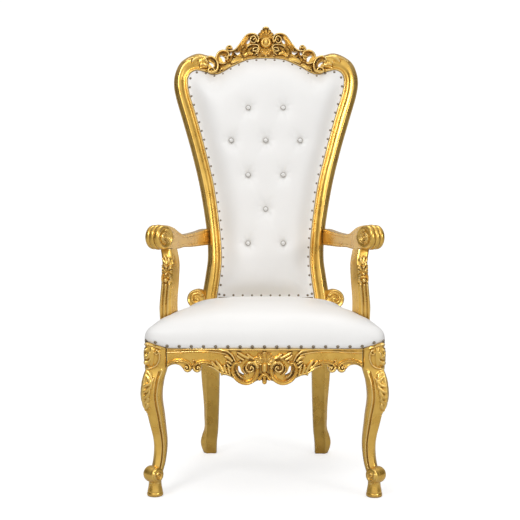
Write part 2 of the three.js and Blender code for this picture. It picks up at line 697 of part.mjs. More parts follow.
// ---------------------------------------------------------------- arms
const ARM_RUN = [ARM.x - ARM.rearX, ARM.y - ARM.rearY];
const ARM_LENGTH = Math.hypot(...ARM_RUN);
const AHEAD = ARM_RUN.map((v) => v / ARM_LENGTH);
const ASIDE = [-AHEAD[1], AHEAD[0]];
// Upper and lower edge of the arm by the share of its length, from the back to the hand.
const ARM_TOP = [
  [-0.2, 786], [0, 784], [0.2, 776], [0.4, 771], [0.57, 769.5], [0.66, 777], [0.8, 794],
  [0.92, 802], [1, 803],
];
const ARM_LOW = [
  [-0.2, 728], [0, 729], [0.4, 728.5], [0.57, 730], [0.66, 727], [0.8, 728], [0.92, 731], [1, 738],
];
const HAND_REEDS = [
  [0, -HAND_HALF], [31, -HAND_HALF], [37, -18], [33.5, -10], [38.5, 0], [33.5, 10], [37, 18],
  [31, HAND_HALF], [0, HAND_HALF],
];

// Place on the arm's own plan: along from the back to the hand, aside away from the sitter.
const onArm = (along, aside, z) => [
  ARM.rearX + AHEAD[0] * along + ASIDE[0] * aside,
  ARM.rearY + AHEAD[1] * along + ASIDE[1] * aside,
  z,
];

function arm(cutters) {
  const rings = [];
  for (let i = 0; i <= 8; i++) {
    const share = lerp(-0.06, 1, i / 8);
    const [top, low] = [valueAt(ARM_TOP, share), valueAt(ARM_LOW, share)];
    const half = ARM.width / 2;
    const flat = half - ARM.edge;
    const section = [
      [-flat, low], [flat, low], [half, low + ARM.edge], [half, top - ARM.edge],
      [flat, top], [-flat, top], [-half, top - ARM.edge], [-half, low + ARM.edge],
    ];
    rings.push(section.map(([aside, z]) => onArm(share * ARM_LENGTH, aside, z)));
  }
  const hand = fromGeometry(
    lathe(HAND_REEDS, 8),
    ([x, y, z]) => onArm(ARM_LENGTH + x, y, ARM.z + z),
  );
  const inward = (u, v, out) => onArm(ARM_LENGTH + u, -HAND_HALF - out, ARM.z + v);
  const parts = [loft(rings), hand];
  parts.push(band(coil([0, 0], 23, 100, 1.25), { width: 8, height: 5, back: -4, place: inward }));
  parts.push(boss([0, 0], 6, 6, 7, inward));
  return union(parts).subtract(cutters);
}

const POST_LEVELS = [SEAT_RAIL_TOP + GAP, 490, 535, 590, 640, 690, POST.top];
// How far the post stands aside and back from the hand, by height.
const POST_ASIDE = [[SEAT_RAIL_TOP, 8], [500, 3], [560, -1], [640, -9], [690, -8], [POST.top, 3]];
const POST_BACK = [[SEAT_RAIL_TOP, 30], [500, 16], [560, 4], [640, 0], [690, 6], [POST.top, 16]];

// Place on the post: ahead and across from its axis.
const onPost = (ahead, across, z) => onArm(
  ARM_LENGTH + POST.ahead - valueAt(POST_BACK, z) + ahead,
  POST.aside + valueAt(POST_ASIDE, z) + across,
  z,
);

function armPost(grow = 0) {
  const rings = [];
  const levels = grow > 0 ? POST_LEVELS.slice(0, 4) : POST_LEVELS;
  for (const [i, level] of levels.entries()) {
    const z = level - (i === 0 ? grow * 2 : 0);
    const wide = POST.width / 2 + 3 * bump((z - SEAT_RAIL_TOP) / 300 + 0.5) + grow;
    const deep = POST.depth / 2 + grow;
    const section = [
      [-deep, -wide], [deep, -wide], [deep + 2, 5 - wide], [deep - 2, 9 - wide], [deep - 2, wide - 9],
      [deep + 2, wide - 5], [deep, wide], [-deep, wide],
    ];
    rings.push(section.map(([ahead, across]) => onPost(ahead, across, z)));
  }
  if (grow > 0) return loft(rings);
  const place = (across, z, out) => onPost(POST.depth / 2 + out, across, z);
  const parts = [loft(rings)];
  const flower = { lobes: 3, spread: 45, inner: 0, outer: 26, width: 12, height: 8, place };
  parts.push(palmette([0, 662], flower));
  parts.push(leaf([[7, 662], [11, 644], [4, 624]], 10, 8, place, 2));
  parts.push(leaf([[-7, 662], [-11, 644], [-4, 624]], 10, 8, place, 2));
  parts.push(boss([0, 636], 8, 9, 10, place));
  return union(parts);
}

// ---------------------------------------------------------------- buttons
const BUTTON_PROFILE = [[0, 0], [BUTTON_RADIUS, 0], [BUTTON_RADIUS, 2.5], [0, 6.5]];
const BUTTON_SIDES = 7;

function buttonGeometry() {
  const turned = lathe(BUTTON_PROFILE, BUTTON_SIDES);
  return geometryOf(fromGeometry(turned, ([x, y, z]) => [x, -y, z]));
}

// How far out a button rests: on the highest part of the face that is under its rim.
function buttonSeat(face, x, z) {
  const heights = [faceOver(face, x, z)];
  for (let k = 0; k < 8; k++) {
    const angle = (k / 8) * 2 * Math.PI;
    const [rimX, rimZ] = [x + BUTTON_RADIUS * Math.cos(angle), z + BUTTON_RADIUS * Math.sin(angle)];
    heights.push(faceOver(face, rimX, rimZ));
  }
  return Math.max(...heights) + GAP;
}

// ---------------------------------------------------------------- the scene graph
function geometryOf(solid, mirrored = false) {
  const { numProp, vertProperties, triVerts } = solid.getMesh();
  const positions = [];
  for (let i = 0; i < vertProperties.length; i += numProp) {
    const [x, y, z] = vertProperties.slice(i, i + 3);
    positions.push(mirrored ? -x : x, y, z);
  }
  const index = mirrored ? [...triVerts].reverse() : [...triVerts];
  const geometry = new THREE.BufferGeometry();
  geometry.setAttribute('position', new THREE.Float32BufferAttribute(positions, 3));
  geometry.setIndex(index);
  return geometry;
}

function piece(name, geometry, finish) {
  const mesh = new THREE.Mesh(geometry, new THREE.MeshStandardMaterial(finish));
  mesh.name = name;
  return mesh;
}

function pair(name, solid, finish) {
  return [
    piece(`${name}_left`, geometryOf(solid, true), finish),
    piece(`${name}_right`, geometryOf(solid), finish),
  ];
}

const mirrorSolid = (solid) => fromGeometry(geometryOf(solid, true));

const stileNotch = stile(2 * GAP);
const postNotch = armPost(1);
const blockNotch = legSolid([402], 14, GAP);
const notches = [postNotch, mirrorSolid(postNotch), blockNotch, mirrorSolid(blockNotch)];

const throne = new THREE.Group();
throne.position.y = PLAN_SHIFT_Y;

const seatFrame = new THREE.Group();
seatFrame.add(...pair('leg_front', frontLeg(), GOLD));
seatFrame.add(...pair('leg_back', rearLeg(), GOLD));
seatFrame.add(piece('apron_front', geometryOf(apron()), GOLD));
seatFrame.add(...pair('rail', sideRail(), GOLD));
seatFrame.add(piece('rail_back', geometryOf(rearRail()), GOLD));
seatFrame.add(piece('seat_board', geometryOf(seatBoard()), LINING));
seatFrame.add(piece('seat_cushion', geometryOf(seatCushion(notches)), LEATHER));
throne.add(seatFrame);

const back = new THREE.Group();
const face = cushionFace();
back.add(...pair('stile', stile(), GOLD));
back.add(piece('crest_rail', geometryOf(crestRail()), GOLD));
const bottomRail = backBottomRail([stileNotch, mirrorSolid(stileNotch)]);
back.add(piece('back_bottom_rail', geometryOf(bottomRail), GOLD));
back.add(piece('back_cushion', geometryOf(backCushion(face)), LEATHER));
back.add(piece('back_panel', geometryOf(backPanel()), LEATHER));
BUTTON_PLACES.forEach(([x, z], i) => {
  const button = piece(`button_${i + 1}`, buttonGeometry(), CRYSTAL);
  button.position.set(...onBack(x, z, buttonSeat(face, x, z)));
  button.rotation.x = -Math.atan(RAKE);
  back.add(button);
});
throne.add(back);

const arms = new THREE.Group();
arms.add(...pair('arm', arm(stileNotch), GOLD));
arms.add(...pair('arm_post', armPost(), GOLD));
throne.add(arms);

export default throne;
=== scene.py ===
# %% [markdown]
# # A carved and gilded throne in white leather
# The real chair is a hardwood frame, carved, covered with gesso and gilded, with a stuffed
# seat and a buttoned back. This lesson dresses the chair's plain solids: every carved piece is
# worked out as a smooth surface first, and the carving is laid on it as strokes, the way a
# carver follows a drawing with a gouge. All lengths are millimetres until a mesh is written.

# %% The frame and the tools
import math

import bpy
import numpy as np
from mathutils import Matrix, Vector


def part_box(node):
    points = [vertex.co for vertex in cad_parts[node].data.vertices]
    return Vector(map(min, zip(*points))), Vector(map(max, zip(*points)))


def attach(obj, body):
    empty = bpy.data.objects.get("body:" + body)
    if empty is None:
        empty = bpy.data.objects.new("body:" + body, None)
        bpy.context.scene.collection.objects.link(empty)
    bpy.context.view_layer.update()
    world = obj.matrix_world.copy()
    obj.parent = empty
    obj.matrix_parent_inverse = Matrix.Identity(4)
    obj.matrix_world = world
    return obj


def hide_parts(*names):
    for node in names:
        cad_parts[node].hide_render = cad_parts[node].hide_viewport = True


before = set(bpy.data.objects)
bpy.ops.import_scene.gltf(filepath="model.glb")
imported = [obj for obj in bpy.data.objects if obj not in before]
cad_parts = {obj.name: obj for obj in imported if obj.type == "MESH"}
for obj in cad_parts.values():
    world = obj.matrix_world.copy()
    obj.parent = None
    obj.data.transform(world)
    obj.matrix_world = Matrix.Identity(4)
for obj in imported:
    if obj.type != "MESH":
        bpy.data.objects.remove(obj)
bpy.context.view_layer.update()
MM = 0.001
APRON_FRONT, APRON_THICK, APRON_HALF, APRON_BOW = -298.0, 26.0, 287.7, 20.0
SHIFT_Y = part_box("apron_front")[1].y / MM - (APRON_FRONT + APRON_THICK)
print("nodes", len(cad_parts), "drawing moved along Y by", round(SHIFT_Y, 2), "mm")

# %% [markdown]
# ## Curves
# Outlines are given by a few knots. A carver's batten bends smoothly through such points, and
# so does a cubic curve whose slope at each knot is taken from its two neighbours.


# %% Steps, bumps and battens
def ease(t):
    """A step with no corner: 3t^2 - 2t^3 between 0 and 1, flat outside."""
    t = np.clip(t, 0.0, 1.0)
    return t * t * (3 - 2 * t)


def bump(t):
    """Half a sine wave over 0 to 1, nothing outside."""
    return np.sin(np.pi * np.clip(t, 0.0, 1.0))


def mix(a, b, t):
    """The value a share t of the way from a to b."""
    return a + (b - a) * t


def hump(x, centre, width):
    """A bell: exp of minus the square of (x - centre) / width."""
    return np.exp(-(((x - centre) / width) ** 2))


def squared(angle, power):
    """Cosine c, sine s and radius of |c|^p + |s|^p = 1: a circle at p = 2, nearly a square at p = 11."""
    c, s = np.cos(angle), np.sin(angle)
    return c, s, (np.abs(c) ** power + np.abs(s) ** power) ** (-1 / power)


def through(knots, x):
    """A cubic through rows of (x, values): Hermite pieces whose slopes are those of the parabola through
    three knots."""
    knots = np.asarray(knots, float)
    at, value = knots[:, 0], knots[:, 1:]
    slope = np.gradient(value, at, axis=0)
    x = np.clip(np.asarray(x, float), at[0], at[-1])
    i = np.clip(np.searchsorted(at, x, side="right") - 1, 0, len(at) - 2)
    step = (at[i + 1] - at[i])[..., None]
    t = ((x - at[i])[..., None]) / step
    low = (2 * t**3 - 3 * t**2 + 1) * value[i] + (t**3 - 2 * t**2 + t) * step * slope[i]
    high = (3 * t**2 - 2 * t**3) * value[i + 1] + (t**3 - t**2) * step * slope[i + 1]
    return (low + high)[..., 0] if value.shape[1] == 1 else low + high


def spline(points, count):
    """count places, evenly spaced by length, on the cubic through the points taken at their chord lengths."""
    points = np.asarray(points, float)
    chord = np.r_[0, np.cumsum(np.linalg.norm(np.diff(points, axis=0), axis=1))]
    fine = through(np.column_stack([chord, points]), np.linspace(0, chord[-1], count * 8))
    run = np.r_[0, np.cumsum(np.linalg.norm(np.diff(fine, axis=0), axis=1))]
    at = np.linspace(0, run[-1], count)
    return np.column_stack([np.interp(at, run, fine[:, k]) for k in range(fine.shape[1])])


def coil(eye, radius, start, turns, inner=0.16):
    """A volute's line from its outer end inwards: angle start + 360 turns t, radius falling evenly to a
    share of itself."""
    t = np.linspace(0, 1, int(abs(turns) * 16) + 2)
    angle = math.radians(start) + turns * t * 2 * np.pi
    r = radius * (1 - (1 - inner) * t)
    return np.column_stack([eye[0] + r * np.cos(angle), eye[1] + r * np.sin(angle)])


print("a batten through three knots passes", through([[0, 0], [1, 1], [2, 0]], 0.5))

# %% [markdown]
# ## Carving as strokes
# A gouge leaves a shape that runs along a line: a bead, a hollow between two rims, a leaf with
# its veins. Each stroke is such a line with a width, a height and a section. For every place of
# a surface the nearest point of the line gives two numbers: u, how far across the stroke the
# place is, from -1 to 1, and t, how far along. The section turns them into a height, and the
# highest stroke at a place wins. Cuts are taken off afterwards.


# %% Sections, as heights from 0 to 1
def bead(u, t):
    """Half a circle: sqrt(1 - u^2)."""
    return np.sqrt(np.clip(1 - u * u, 0, 1))


def channel(u, t):
    """A hollow between two rims: 0.5 in the middle, a hump centred on |u| = 0.66, falling steeply at the
    edges."""
    rim = hump(np.abs(u), 0.66, 0.2)
    return (0.5 + 0.5 * rim) * np.clip(1 - np.abs(u) ** 7, 0, 1) ** 0.5


def scoop(u, t):
    """A petal: rims at the sides, hollow in the middle, highest near its tip."""
    return channel(u, t) * (0.55 + 0.45 * ease(t * 1.3))


def acanthus(u, t):
    """A leaf: a rib down the middle and side veins that lean towards the tip, cos of 7 t - 0.9 |u|."""
    dome = np.clip(1 - np.abs(u) ** 2.2, 0, 1) ** 0.6
    veins = 0.78 + 0.22 * np.cos(2 * np.pi * (7 * t - 0.9 * np.abs(u)))
    rib = 0.25 * hump(u, 0, 0.16)
    return dome * veins + rib * dome


# %% A stroke, and the carving of many strokes
def stroke(path, width, height, section=bead, ends=(0.5, 0.5), level=0.0, lobes=0, cut=False, kind="band"):
    """A line resampled every 2.5 mm. Its width is full in the middle and falls to a share of itself at
    each end."""
    path = np.asarray(path, float)
    length = np.linalg.norm(np.diff(path, axis=0), axis=1).sum()
    path = spline(path, max(4, int(length / 2.5)))
    t = np.linspace(0, 1, len(path))
    full = bump(t) ** (0.6 if kind == "band" else 0.75)
    share = mix(mix(ends[0], ends[1], t), 1, full)
    half = width / 2 * share
    if lobes:
        half = half * (0.74 + 0.26 * np.abs(np.sin(np.pi * lobes * t)))
    return {"path": path, "half": half, "height": height, "section": section, "level": level,
            "cut": cut, "fall": mix(ends[0], ends[1], t) if kind == "band" else None}


def dome(x, z, width, tall, height, level=0.0, section=bead):
    """A boss: a very short upright stroke, so that its outline is round or oval."""
    reach = max(tall - width, 0.4) / 2
    return {"path": np.array([[x, z - reach], [x, z + reach]]), "half": np.full(2, width / 2),
            "height": height, "section": section, "level": level, "cut": False, "fall": None}


def across_and_along(places, s):
    """Nearest place on the stroke's line: u signed across, t along, and the gap to its edge, negative
    inside."""
    path, half = s["path"], s["half"]
    gap = np.full(len(places), 1e6)
    u, t = np.ones(len(places)), np.zeros(len(places))
    for k in range(len(path) - 1):
        run = path[k + 1] - path[k]
        off = places - path[k]
        f = np.clip(off @ run / max(run @ run, 1e-9), 0, 1)
        away = off - f[:, None] * run
        distance = np.hypot(away[:, 0], away[:, 1])
        wide = half[k] + (half[k + 1] - half[k]) * f
        nearer = distance - wide < gap
        side = np.where(run[0] * off[:, 1] - run[1] * off[:, 0] < 0, -1.0, 1.0)
        gap = np.where(nearer, distance - wide, gap)
        u = np.where(nearer, side * distance / np.maximum(wide, 1e-6), u)
        t = np.where(nearer, (k + f) / (len(path) - 1), t)
    return u, t, gap


def carve(x, z, ground, strokes, reach=6.0):
    """The ground with each stroke's section laid over it, and the gap to the nearest raised stroke, at
    places x, z."""
    x, z, ground = np.broadcast_arrays(x, z, ground)
    places = np.column_stack([x.ravel(), z.ravel()]).astype(float)
    height = ground.ravel().astype(float)
    outline = np.full(len(places), 1e6)
    for s in sorted(strokes, key=lambda s: s["cut"]):
        margin = s["half"].max() + reach
        low, high = s["path"].min(0) - margin, s["path"].max(0) + margin
        near = np.flatnonzero(((places > low) & (places < high)).all(1))
        if not len(near):
            continue
        u, t, gap = across_and_along(places[near], s)
        tall = s["height"] * s["section"](np.clip(u, -1, 1), t)
        if s["fall"] is not None:
            tall = tall * mix(np.interp(t, np.linspace(0, 1, len(s["fall"])), s["fall"]), 1, bump(t) ** 0.4)
        inside = gap < 0
        if s["cut"]:
            height[near] -= np.where(inside, tall, 0)
        else:
            height[near] = np.where(inside, np.maximum(height[near], s["level"] + tall), height[near])
            outline[near] = np.minimum(outline[near], gap)
    return height.reshape(x.shape), outline.reshape(x.shape)


def both(marks):
    """The strokes of a right half, and their mirror images. Sections depend on |u| alone, so they need
    no turning."""
    return marks + [{**s, "path": s["path"] * [-1, 1]} for s in marks]


def volute(eye, radius, start, turns, tail, width, height, section=channel, ends=(0.35, 0.7), level=0.0):
    """A C-scroll: a coil that unwinds into a tail, with a round eye in its middle."""
    line = np.vstack([coil(eye, radius, start, turns)[::-1], tail])
    return [stroke(line, width, height, section, ends, level=level),
            dome(eye[0], eye[1], width * 0.72, width * 0.72, height * 1.25, level=level)]


def scroll(eye, radius, start, turns, coil_width, tail, width, height, section=channel, ends=(0.55, 0.6),
           level=0.0):
    """A C-scroll whose coil is a fine bead and whose long arm is broad."""
    inner = coil(eye, radius, start, turns)[::-1]
    return [stroke(inner, coil_width, height, bead, (0.7, 1.0), level=level),
            stroke(np.vstack([inner[-9:], tail]), width, height, section, ends, level=level),
            dome(eye[0], eye[1], coil_width * 1.15, coil_width * 1.15, height * 1.2, level=level)]


def petal(points, width, height):
    """A smooth lobe of a leaf, round at its root and pointed at its tip."""
    return stroke(points, width * 1.2, height, bead, (0.85, 0.15), kind="leaf")


def leaf(points, width, height, root=0.5, tip=0.5, lobes=0):
    """A veined leaf."""
    return stroke(points, width, height, acanthus, (root, tip), lobes=lobes, kind="leaf")


def palmette(x, z, lobes, spread, inner, outer, width, height, tilt=90, level=0.0):
    """A shell: lobes fan out by even angles, the outer ones shorter by the square of their turn."""
    fan = []
    for side in np.linspace(-1, 1, lobes):
        angle = math.radians(tilt - side * spread)
        reach = outer * (1 - 0.2 * side * side)
        line = [[x + r * math.cos(angle), z + r * math.sin(angle)]
                for r in (inner, mix(inner, reach, 0.6), reach)]
        lobe = stroke(line, width, height, scoop, (0.3, 1.0), level=level)
        lobe["half"] = width / 2 * np.linspace(0.3, 1.0, len(lobe["path"]))
        fan.append(lobe)
    return fan


print("a bead 10 wide is", carve(0.0, 0.0, 0.0, [stroke([[-9, 0], [9, 0]], 10, 4)])[0].round(2), "high")

# %% [markdown]
# ## Shells
# A piece is built from closed shells: a tube of rings with its ends filled, a turned shape, or
# a slab whose front is carved and whose outline follows the strokes. Each shell is turned to
# face outwards by the sign of its volume before it is written into a mesh.


# %% Grids, tubes and slabs
def quads_of(rows, columns, wrap):
    """Corner numbers of the quads between neighbours on a grid; wrap joins the last column to the first."""
    r = np.arange(rows - 1)[:, None]
    c = np.arange(columns if wrap else columns - 1)[None, :]
    a, b = r * columns + c, r * columns + (c + 1) % columns
    return np.stack([a, b, b + columns, a + columns], -1).reshape(-1, 4)


def tube(rings):
    """Rings of points skinned with quads; each end is filled with a fan from its middle."""
    rings = np.asarray(rings, float)
    rows, columns = rings.shape[:2]
    points = np.vstack([rings.reshape(-1, 3), rings[0].mean(0), rings[-1].mean(0)])
    c = np.arange(columns)
    n = (c + 1) % columns
    last = (rows - 1) * columns
    low = np.column_stack([np.full(columns, rows * columns), n, c])
    high = np.column_stack([np.full(columns, rows * columns + 1), last + c, last + n])
    return points, quads_of(rows, columns, True), np.vstack([low, high])


def turned(profile, sides, front=(), back=()):
    """A shape turned about its axis, as rings of (u, v, w). Carving on its end faces moves them along
    the axis."""
    profile = np.asarray(profile, float)
    angle = np.linspace(0, 2 * np.pi, sides, endpoint=False)
    r, w = profile[:, :1], np.repeat(profile[:, 1:], sides, axis=1)
    u, v = r * np.cos(angle), r * np.sin(angle)
    half = len(profile) // 2
    for strokes, rows, sign in ((back, slice(0, half), -1), (front, slice(half, None), 1)):
        if strokes:
            w[rows] += sign * carve(u[rows], v[rows], 0.0, strokes)[0]
    return np.stack([u, v, w], -1)


def slab(x, z, front, gap, back, place):
    """A closed slab: the cells that lie inside the outline (gap < 0), with the rim moved onto it, a wall
    and a back."""
    rows, columns = gap.shape
    inside = gap < 0
    kept = inside[:-1, :-1] | inside[1:, :-1] | inside[:-1, 1:] | inside[1:, 1:]
    step_z, step_x = z[1, 0] - z[0, 0], x[0, 1] - x[0, 0]
    slope_z, slope_x = np.gradient(np.clip(gap, -8, 8), step_z, step_x)
    steep = np.maximum(np.hypot(slope_x, slope_z), 0.5)
    pull = np.where(inside, 0, np.minimum(gap, 1.2 * step_x)) / steep**2
    px, pz = x - pull * slope_x, z - pull * slope_z
    faces = quads_of(rows, columns, False)[kept.ravel()]
    a = faces
    edges = np.vstack([a[:, [0, 1]], a[:, [1, 2]], a[:, [2, 3]], a[:, [3, 0]]])
    key = np.sort(edges, axis=1)
    _, where, count = np.unique(key, axis=0, return_index=True, return_counts=True)
    rim = edges[where[count == 1]]
    size = rows * columns
    walls = np.column_stack([rim[:, 1], rim[:, 0], rim[:, 0] + size, rim[:, 1] + size])
    everything = np.vstack([faces, faces[:, ::-1] + size, walls])
    fore = place(px.ravel(), pz.ravel(), front.ravel())
    aft = place(px.ravel(), pz.ravel(), np.broadcast_to(back, gap.shape).ravel())
    used, renumbered = np.unique(everything, return_inverse=True)
    return np.vstack([fore, aft])[used], renumbered.reshape(-1, 4), np.zeros((0, 3), int)


def mirrored(shell):
    """The same shell on the other side of X = 0, its faces turned round to stay outwards."""
    points, quads, tris = shell
    return points * [-1, 1, 1], quads[:, ::-1], tris[:, ::-1]


def volume(points, quads, tris):
    """The volume inside a shell: the sum of a.(b x c) over its triangles, divided by six. Negative if it
    faces inwards."""
    corners = np.vstack([quads[:, [0, 1, 2]], quads[:, [0, 2, 3]], tris])
    a, b, c = points[corners[:, 0]], points[corners[:, 1]], points[corners[:, 2]]
    return np.einsum("ij,ij->i", a, np.cross(b, c)).sum() / 6


# %% Writing a piece
made = {}


def piece(name, shells, material, replaces=(), sharp=65):
    """Shells joined into one mesh, in metres and in place, smooth except over edges sharper than an angle."""
    shells = [s if volume(*s) > 0 else (s[0], s[1][:, ::-1], s[2][:, ::-1]) for s in shells]
    starts = np.cumsum([0] + [len(s[0]) for s in shells])
    points = np.vstack([s[0] for s in shells]) + [0, SHIFT_Y, 0]
    quads = np.vstack([s[1] + o for s, o in zip(shells, starts)])
    tris = np.vstack([s[2] + o for s, o in zip(shells, starts)])
    mesh = bpy.data.meshes.new(name)
    mesh.vertices.add(len(points))
    mesh.vertices.foreach_set("co", (points * MM).astype(np.float32).ravel())
    mesh.loops.add(quads.size + tris.size)
    mesh.loops.foreach_set("vertex_index", np.r_[quads.ravel(), tris.ravel()].astype(np.int32))
    mesh.polygons.add(len(quads) + len(tris))
    begin = np.r_[np.arange(len(quads)) * 4, quads.size + np.arange(len(tris)) * 3]
    mesh.polygons.foreach_set("loop_start", begin.astype(np.int32))
    mesh.update(calc_edges=True)
    mesh.validate()
    mesh.shade_smooth()
    mesh.set_sharp_from_angle(angle=math.radians(sharp))
    mesh.materials.append(material)
    obj = bpy.data.objects.new(name, mesh)
    bpy.context.scene.collection.objects.link(obj)
    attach(obj, "root")
    if replaces:
        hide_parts(*replaces)
    made[name] = len(quads) * 2 + len(tris)
    print(f"{name}: {made[name]} triangles")
    return obj


def pair(name, shells, material):
    """A right-hand piece and its mirror image, each standing for the solid of its own name."""
    piece(name + "_right", shells, material, [name + "_right"])
    piece(name + "_left", [mirrored(s) for s in shells], material, [name + "_left"])

# %% [markdown]
# ## Finishes
# Gilding over carved gesso: its colour is painted paler on sharp edges, a painted highlight, and
# brown in hollows, painted shade. Two masks do that work: how closed in a place is, and how much it
# stands out as an edge. Leather needs a fine pebble that only shows as broken highlights. The leather and the
# nails get the same painted shade in their hollows.


# %% Node helpers
def new_group(name, inputs, outputs):
    """An empty shader group with float inputs and the given outputs."""
    group = bpy.data.node_groups.new(name, "ShaderNodeTree")
    for label, value in inputs.items():
        socket = group.interface.new_socket(name=label, in_out="INPUT", socket_type="NodeSocketFloat")
        socket.default_value = value
    for label in outputs:
        group.interface.new_socket(name=label, in_out="OUTPUT", socket_type="NodeSocketFloat")
    return group, group.nodes.new("NodeGroupInput"), group.nodes.new("NodeGroupOutput")


def ramp(tree, source, low, high, to_low=0.0, to_high=1.0):
    """A straight ramp of a value from low..high to to_low..to_high, held at its ends."""
    node = tree.nodes.new("ShaderNodeMapRange")
    for socket, value in zip(node.inputs[1:5], (low, high, to_low, to_high)):
        socket.default_value = value
    tree.links.new(source, node.inputs["Value"])
    return node.outputs["Result"]


def blend_colour(tree, share, first, second):
    """Two colours, or sockets, mixed by a share."""
    node = tree.nodes.new("ShaderNodeMix")
    node.data_type = "RGBA"
    tree.links.new(share, node.inputs["Factor"])
    for socket, value in ((node.inputs[6], first), (node.inputs[7], second)):
        if isinstance(value, tuple):
            socket.default_value = (*value, 1)
        else:
            tree.links.new(value, socket)
    return node.outputs[2]


def new_material(name):
    """A material with its Principled shader."""
    material = bpy.data.materials.new(name)
    material.use_nodes = True
    return material, material.node_tree, material.node_tree.nodes["Principled BSDF"]


# %% Shared effects: hollows and edges, unevenness, pebble
# Masks for painted light: Hollow, from ambient occlusion, places painted shade; Edge, from pointiness, places a
# painted highlight.
relief_group, ins, outs = new_group("hollows_and_edges", {"Reach": 0.012}, ["Hollow", "Edge"])
shade = relief_group.nodes.new("ShaderNodeAmbientOcclusion")
shade.samples = 6
relief_group.links.new(ins.outputs["Reach"], shade.inputs["Distance"])
relief_group.links.new(ramp(relief_group, shade.outputs["AO"], 0.8, 0.15), outs.inputs["Hollow"])
form = relief_group.nodes.new("ShaderNodeNewGeometry")
relief_group.links.new(ramp(relief_group, form.outputs["Pointiness"], 0.51, 0.6), outs.inputs["Edge"])

uneven_group, ins, outs = new_group("unevenness", {"Scale": 40, "Detail": 4}, ["Amount"])
where = uneven_group.nodes.new("ShaderNodeTexCoord")
cloud = uneven_group.nodes.new("ShaderNodeTexNoise")
uneven_group.links.new(where.outputs["Object"], cloud.inputs["Vector"])
uneven_group.links.new(ins.outputs["Scale"], cloud.inputs["Scale"])
uneven_group.links.new(ins.outputs["Detail"], cloud.inputs["Detail"])
uneven_group.links.new(cloud.outputs["Fac"], outs.inputs["Amount"])

pebble_group, ins, outs = new_group("leather_pebble", {"Scale": 700}, ["Height"])
where = pebble_group.nodes.new("ShaderNodeTexCoord")
cells = pebble_group.nodes.new("ShaderNodeTexVoronoi")
cells.feature = "SMOOTH_F1"
pebble_group.links.new(where.outputs["Object"], cells.inputs["Vector"])
pebble_group.links.new(ins.outputs["Scale"], cells.inputs["Scale"])
pebble_group.links.new(ramp(pebble_group, cells.outputs["Distance"], 0.0, 0.7, 1.0, 0.0),
                       outs.inputs["Height"])


def use_group(tree, group, **values):
    """A group placed in a material, with its own values."""
    node = tree.nodes.new("ShaderNodeGroup")
    node.node_tree = group
    for label, value in values.items():
        node.inputs[label].default_value = value
    return node


def bump_of(tree, shader, height, distance, strength):
    """A Bump node from a height in metres of the given distance, into the shader's normal."""
    node = tree.nodes.new("ShaderNodeBump")
    node.inputs["Strength"].default_value = strength
    node.inputs["Distance"].default_value = distance
    tree.links.new(height, node.inputs["Height"])
    tree.links.new(node.outputs["Normal"], shader.inputs["Normal"])


# %% Gilding
gold, tree, shader = new_material("burnished_gilding")
relief = use_group(tree, relief_group, Reach=0.006)
toning = use_group(tree, uneven_group, Scale=26)
grain = use_group(tree, uneven_group, Scale=110, Detail=3)
leaf_colour = blend_colour(tree, ramp(tree, toning.outputs["Amount"], 0.35, 0.65), (0.76, 0.448, 0.078),
                           (0.87, 0.55, 0.118))
# Painted highlight: sharp edges are painted a pale gold.
bright = blend_colour(tree, relief.outputs["Edge"], leaf_colour, (1.0, 0.79, 0.37))
# Painted shade: hollows are painted dark brown and, below, made less metallic, where shade falls.
gold_with_painted_shade = blend_colour(tree, relief.outputs["Hollow"], bright, (0.22, 0.110, 0.020))
tree.links.new(gold_with_painted_shade, shader.inputs["Base Color"])
tree.links.new(ramp(tree, relief.outputs["Hollow"], 0, 1, 0.82, 0.45), shader.inputs["Metallic"])
tree.links.new(ramp(tree, toning.outputs["Amount"], 0.3, 0.7, 0.24, 0.34), shader.inputs["Roughness"])
shader.inputs["Coat Weight"].default_value = 0.35
shader.inputs["Coat Roughness"].default_value = 0.12
bump_of(tree, shader, grain.outputs["Amount"], 0.0002, 0.06)

# %% Leather, buttons, nails and dust cloth
leather, tree, shader = new_material("white_leather")
tone = use_group(tree, uneven_group, Scale=9)
pebble = use_group(tree, pebble_group, Scale=620)
leather_painted_shade = use_group(tree, relief_group, Reach=0.03)
skin = blend_colour(tree, tone.outputs["Amount"], (0.86, 0.85, 0.835), (0.90, 0.893, 0.88))
# Painted shade: the leather is painted a warm grey where it is closed in.
tree.links.new(blend_colour(tree, leather_painted_shade.outputs["Hollow"], skin, (0.62, 0.58, 0.52)),
               shader.inputs["Base Color"])
shader.inputs["Roughness"].default_value = 0.46
bump_of(tree, shader, pebble.outputs["Height"], 0.0003, 0.22)

pearl, tree, shader = new_material("pale_button")
ring = tree.nodes.new("ShaderNodeAttribute")
ring.attribute_name = "rim"
tree.links.new(blend_colour(tree, ring.outputs["Fac"], (0.80, 0.79, 0.77), (0.60, 0.585, 0.56)),
               shader.inputs["Base Color"])
tree.links.new(ramp(tree, ring.outputs["Fac"], 0, 1, 0.0, 0.45), shader.inputs["Metallic"])
shader.inputs["Roughness"].default_value = 0.16

nail_brass, tree, shader = new_material("aged_brass")
relief = use_group(tree, relief_group, Reach=0.004)
# Painted shade: the nail heads are painted nearly black where they are closed in.
tree.links.new(blend_colour(tree, relief.outputs["Hollow"], (0.25, 0.205, 0.15), (0.06, 0.05, 0.038)),
               shader.inputs["Base Color"])
shader.inputs["Metallic"].default_value = 0.9
shader.inputs["Roughness"].default_value = 0.34

